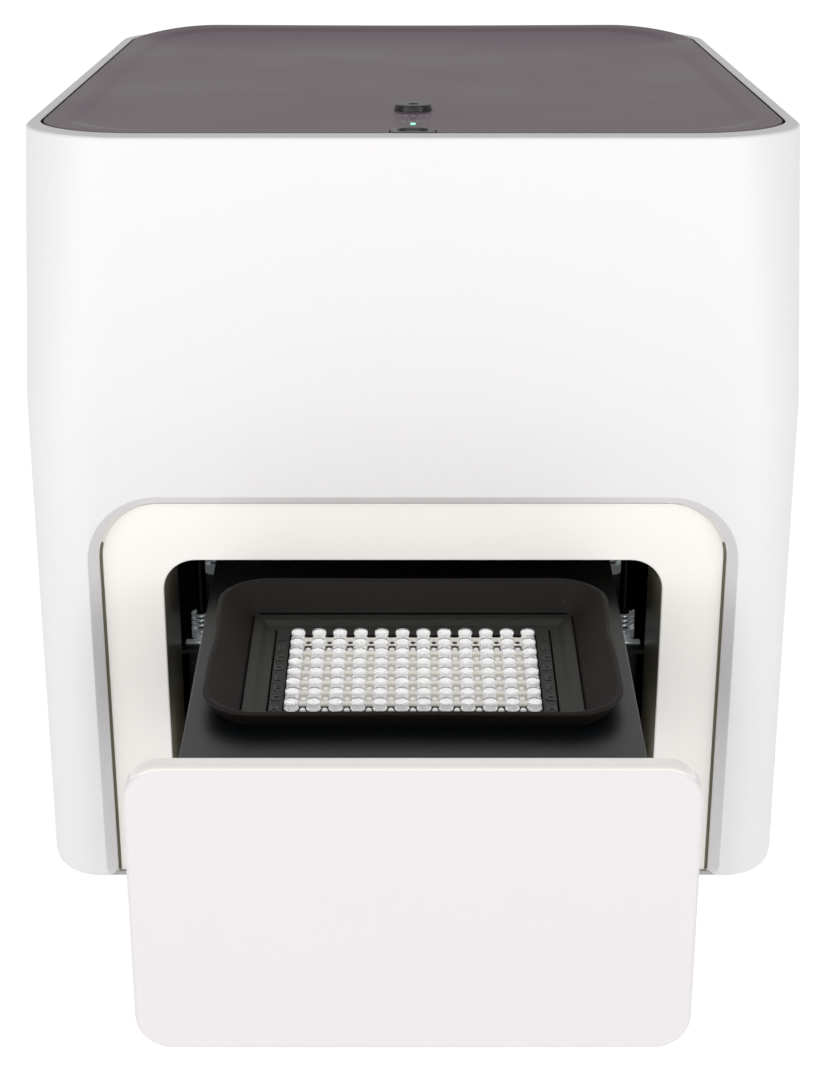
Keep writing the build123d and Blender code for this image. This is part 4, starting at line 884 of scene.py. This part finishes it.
def buildPanelMarks():
    # two lamps in the panel, plain dashes where their labels are, and the drawer's arrow
    lamps = {"off": 68.5, "lit": 49.5}
    for name, along, material in (("lamp_off", lamps["off"], finish["lampOff"]),
                                  ("lamp_lit", lamps["lit"], finish["lampGreen"])):
        rings = [[onRim(r * math.cos(a), along + 1.6 * r * math.sin(a), rise)
                  for a in [math.tau * k / 28 for k in range(28)]]
                 for r, rise in ((1.1, -3.5), (1.15, -1.1), (1.05, -0.98), (0.7, -0.92))]
        replaced = ("status_lights",) if name == "lamp_off" else ()
        hand(ringPiece(name, rings, material), "root", "light_pipe", *replaced)
    strokes = []
    for along, spread in ((77.0, (-6.0, -3.2, 0.2, 3.6, 6.2)), (58.0, (-4.4, -1.2, 2.2, 4.6))):
        for x in spread:
            strokes.append([(x - 0.9, along - 0.7), (x + 0.9, along - 0.7),
                            (x + 0.9, along + 0.7), (x - 0.9, along + 0.7)])
    strokes.append([(-3.4, 19.6), (0.0, 24.6), (3.4, 19.6), (2.4, 19.6), (0.0, 23.0), (-2.4, 19.6)])
    for index, outline in enumerate(strokes):
        level = -0.96 if index == len(strokes) - 1 else -1.32
        rings = [[onRim(x, y, rise) for x, y in outline] for rise in (level - 0.1, level + 0.06)]
        body = "drawer_button" if index == len(strokes) - 1 else "root"
        hand(ringPiece("printed_mark_%d" % index, rings, finish["print"]), body, "panel_grey")


def buildDeckEdge():
    # the deck's folded rim, rounded, with its cut-out under the collar
    deck = {"half": 90.5, "rear": 62.0, "top": 157.2, "thick": 1.5, "round": 1.0, "corner": 3.0}
    near = -165.0

    def ring(margin, z):
        outline = corneredOutline(-deck["half"] + margin, deck["half"] - margin, near, deck["rear"] - margin,
                                  [0.3, deck["corner"], deck["corner"], 0.3], 6)
        return [place(x, y, z) for x, y in outline]

    rings = [ring(0.0, deck["top"] - 5.2)]
    rings += bent(ring(0, deck["top"] - deck["round"]), ring(0, deck["top"]), ring(deck["round"], deck["top"]), 4)
    piece = ringPiece("deck_sheet", rings, finish["deck"])
    hole = ringPiece("hole", [[place(x, y, z) for x, y in roundedOutline(77.6, 56.6, 16, 8, middle=(0, -61.8))]
                              for z in (150, 160)], None)
    cutWith(piece, hole)
    weighted(piece)
    return hand(piece, "drawer", "deck_black", "deck_plate")


def buildFeet():
    # turned rubber feet with a ground edge
    for sideX in (-1, 1):
        for y in (34.0, 414.0):
            profile = [(11.2, 0.0), (12.2, 0.5), (12.9, 2.2), (13.0, 6.5), (12.4, 7.8), (10.0, 8.0)]
            foot = turned("foot", profile, finish["rubber"], 40, 50)
            foot.data.transform(Matrix.Translation(place(sideX * 136.2, y, 0)))
            hand(foot, "root", "feet_rubber", *(("feet",) if (sideX, y) == (-1, 34.0) else ()))


def buildScrews():
    # socket screws round the rear panel, one turned source copied to each place
    head = turned("screw_source", [(2.7, 0.0), (2.8, 0.9), (2.5, 1.5), (1.5, 1.65), (1.4, 0.6), (0.5, 0.5)],
                  finish["blackSteel"], 20, 40)
    head.data.transform(Matrix.Rotation(math.radians(-90), 4, "X"))
    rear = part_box("rear_panel")
    y = (rear[1].y - frontFace) / mm
    low, high = rear[0].z / mm + 4.5, rear[1].z / mm - 4.5
    half = rear[1].x / mm - 4.5
    places = [place(x, y, z) for x in (-half, -half / 3, half / 3, half) for z in (low, high)]
    places += [place(x, y, (low + high) / 2) for x in (-half, half)]
    return hand(copiesAt("rear_screws", head, places, finish["blackSteel"]), "root", "black_steel")


def buildSideFittings():
    # what shows beside the deck: a bright shelf edge over a dark bracket with a lip; the shelf edge's faint glow is a
    # painted highlight
    for side in (-1, 1):
        def block(name, x0, x1, y0, y1, z0, z1, edge, material):
            low, high = place(min(side * x0, side * x1), y0, z0), place(max(side * x0, side * x1), y1, z1)
            hand(roundedBox(name, low, high, edge, material), "root", "black_steel")
        block("shelf_edge", 94.5, 110.0, 73.0, 76.5, 93.2, 97.2, 0.5, finish["springSteel"])
        block("shelf_bracket", 101.8, 109.0, 72.0, 76.0, 66.0, 93.0, 0.8, finish["blackSteel"])
        block("bracket_lip", 102.2, 108.0, 70.6, 72.4, 88.6, 92.4, 0.4, finish["blackSteel"])


buildHousing()
print("casing")
buildFascia()
buildTopPanel()
buildButtons()
print("fascia, panel and buttons")
buildDrawerFront()
buildCollar()
buildTubes()
buildWeb()
buildLiner()
buildLetters()
buildSprings()
buildDeckEdge()
print("drawer")
buildPanelMarks()
buildFeet()
buildScrews()
buildSideFittings()
print("marks, feet, screws and fittings")


# Camera, light and floor
view = {"lens": 75.16, "pitch": 65.7, "y": -908.64, "z": 592.7, "shiftX": 0.0}
cameraData = bpy.data.cameras.new("camera")
cameraData.sensor_fit = "VERTICAL"
cameraData.sensor_height = 36.0
cameraData.sensor_width = 36.0
cameraData.lens = view["lens"]
camera = bpy.data.objects.new("camera", cameraData)
camera.location = place(0, view["y"], view["z"])
camera.rotation_euler = (math.radians(view["pitch"]), 0, 0)
bpy.context.scene.collection.objects.link(camera)
bpy.context.scene.camera = camera


def areaLamp(name, where, aim, width, height, power):
    lampData = bpy.data.lights.new(name, "AREA")
    lampData.shape = "RECTANGLE"
    lampData.size, lampData.size_y, lampData.energy = width, height, power
    lamp = bpy.data.objects.new(name, lampData)
    lamp.location = where
    lamp.rotation_euler = (Vector(aim) - Vector(where)).to_track_quat("-Z", "Y").to_euler()
    bpy.context.scene.collection.objects.link(lamp)


areaLamp("key", (-1.3, -1.9, 1.0), (0, 0, 0.2), 1.4, 1.2, 6)
areaLamp("fill", (1.4, -1.8, 0.95), (0, 0, 0.2), 1.4, 1.2, 4.5)
areaLamp("low left", (-1.7, -1.5, 0.4), (0, 0, 0.1), 1.0, 0.8, 7)
areaLamp("low right", (1.7, -1.5, 0.4), (0, 0, 0.1), 1.0, 0.8, 7)
areaLamp("front", (0, -2.8, 0.6), (0, 0, 0.15), 1.6, 0.8, 11)
areaLamp("overhead", (0, 0.1, 2.1), (0, 0, 0.2), 2.2, 1.6, 2)


def stageFloor():
    material, tree = newMaterial("studio floor white")
    ray = tree.nodes.new("ShaderNodeLightPath")
    seen = addNode(tree, "ShaderNodeMath", None, {0: ray.outputs["Is Camera Ray"], 1: ray.outputs["Is Glossy Ray"]},
                   operation="MAXIMUM")
    share = addNode(tree, "ShaderNodeMapRange", {"To Min": 0.3, "To Max": 0.88}, {"Value": seen.outputs[0]})
    paper = addNode(tree, "ShaderNodeBsdfDiffuse", {"Color": hexColour("F4F4F4")})
    glow = addNode(tree, "ShaderNodeEmission", {"Color": (1, 1, 1, 1), "Strength": 1.12})
    mix = addNode(tree, "ShaderNodeMixShader", None,
                  {0: share.outputs[0], 1: paper.outputs[0], 2: glow.outputs[0]})
    shaded(tree, mix)
    mesh = bpy.data.meshes.new("floor")
    reach = 30.0
    mesh.from_pydata([(-reach, -reach, 0), (reach, -reach, 0), (reach, reach, 0), (-reach, reach, 0)], [],
                     [(0, 1, 2, 3)])
    newObject("floor", mesh, material)


stageFloor()
world = bpy.data.worlds.new("studio")
bpy.context.scene.world = world
world.use_nodes = True
tree = world.node_tree
tree.nodes.clear()
ray = tree.nodes.new("ShaderNodeLightPath")
soft = addNode(tree, "ShaderNodeBackground", {"Color": (1, 1, 1, 1), "Strength": 0.48})
white = addNode(tree, "ShaderNodeBackground", {"Color": (1, 1, 1, 1), "Strength": 1.0})
seen = addNode(tree, "ShaderNodeMath", None,
               {0: ray.outputs["Is Camera Ray"], 1: ray.outputs["Is Transmission Ray"]}, operation="MAXIMUM")
mix = addNode(tree, "ShaderNodeMixShader", None, {0: seen.outputs[0], 1: soft.outputs[0], 2: white.outputs[0]})
addNode(tree, "ShaderNodeOutputWorld", links={"Surface": mix.outputs[0]})

bpy.context.scene.view_settings.view_transform = "Standard"
bpy.context.view_layer.update()
print("ready to render")
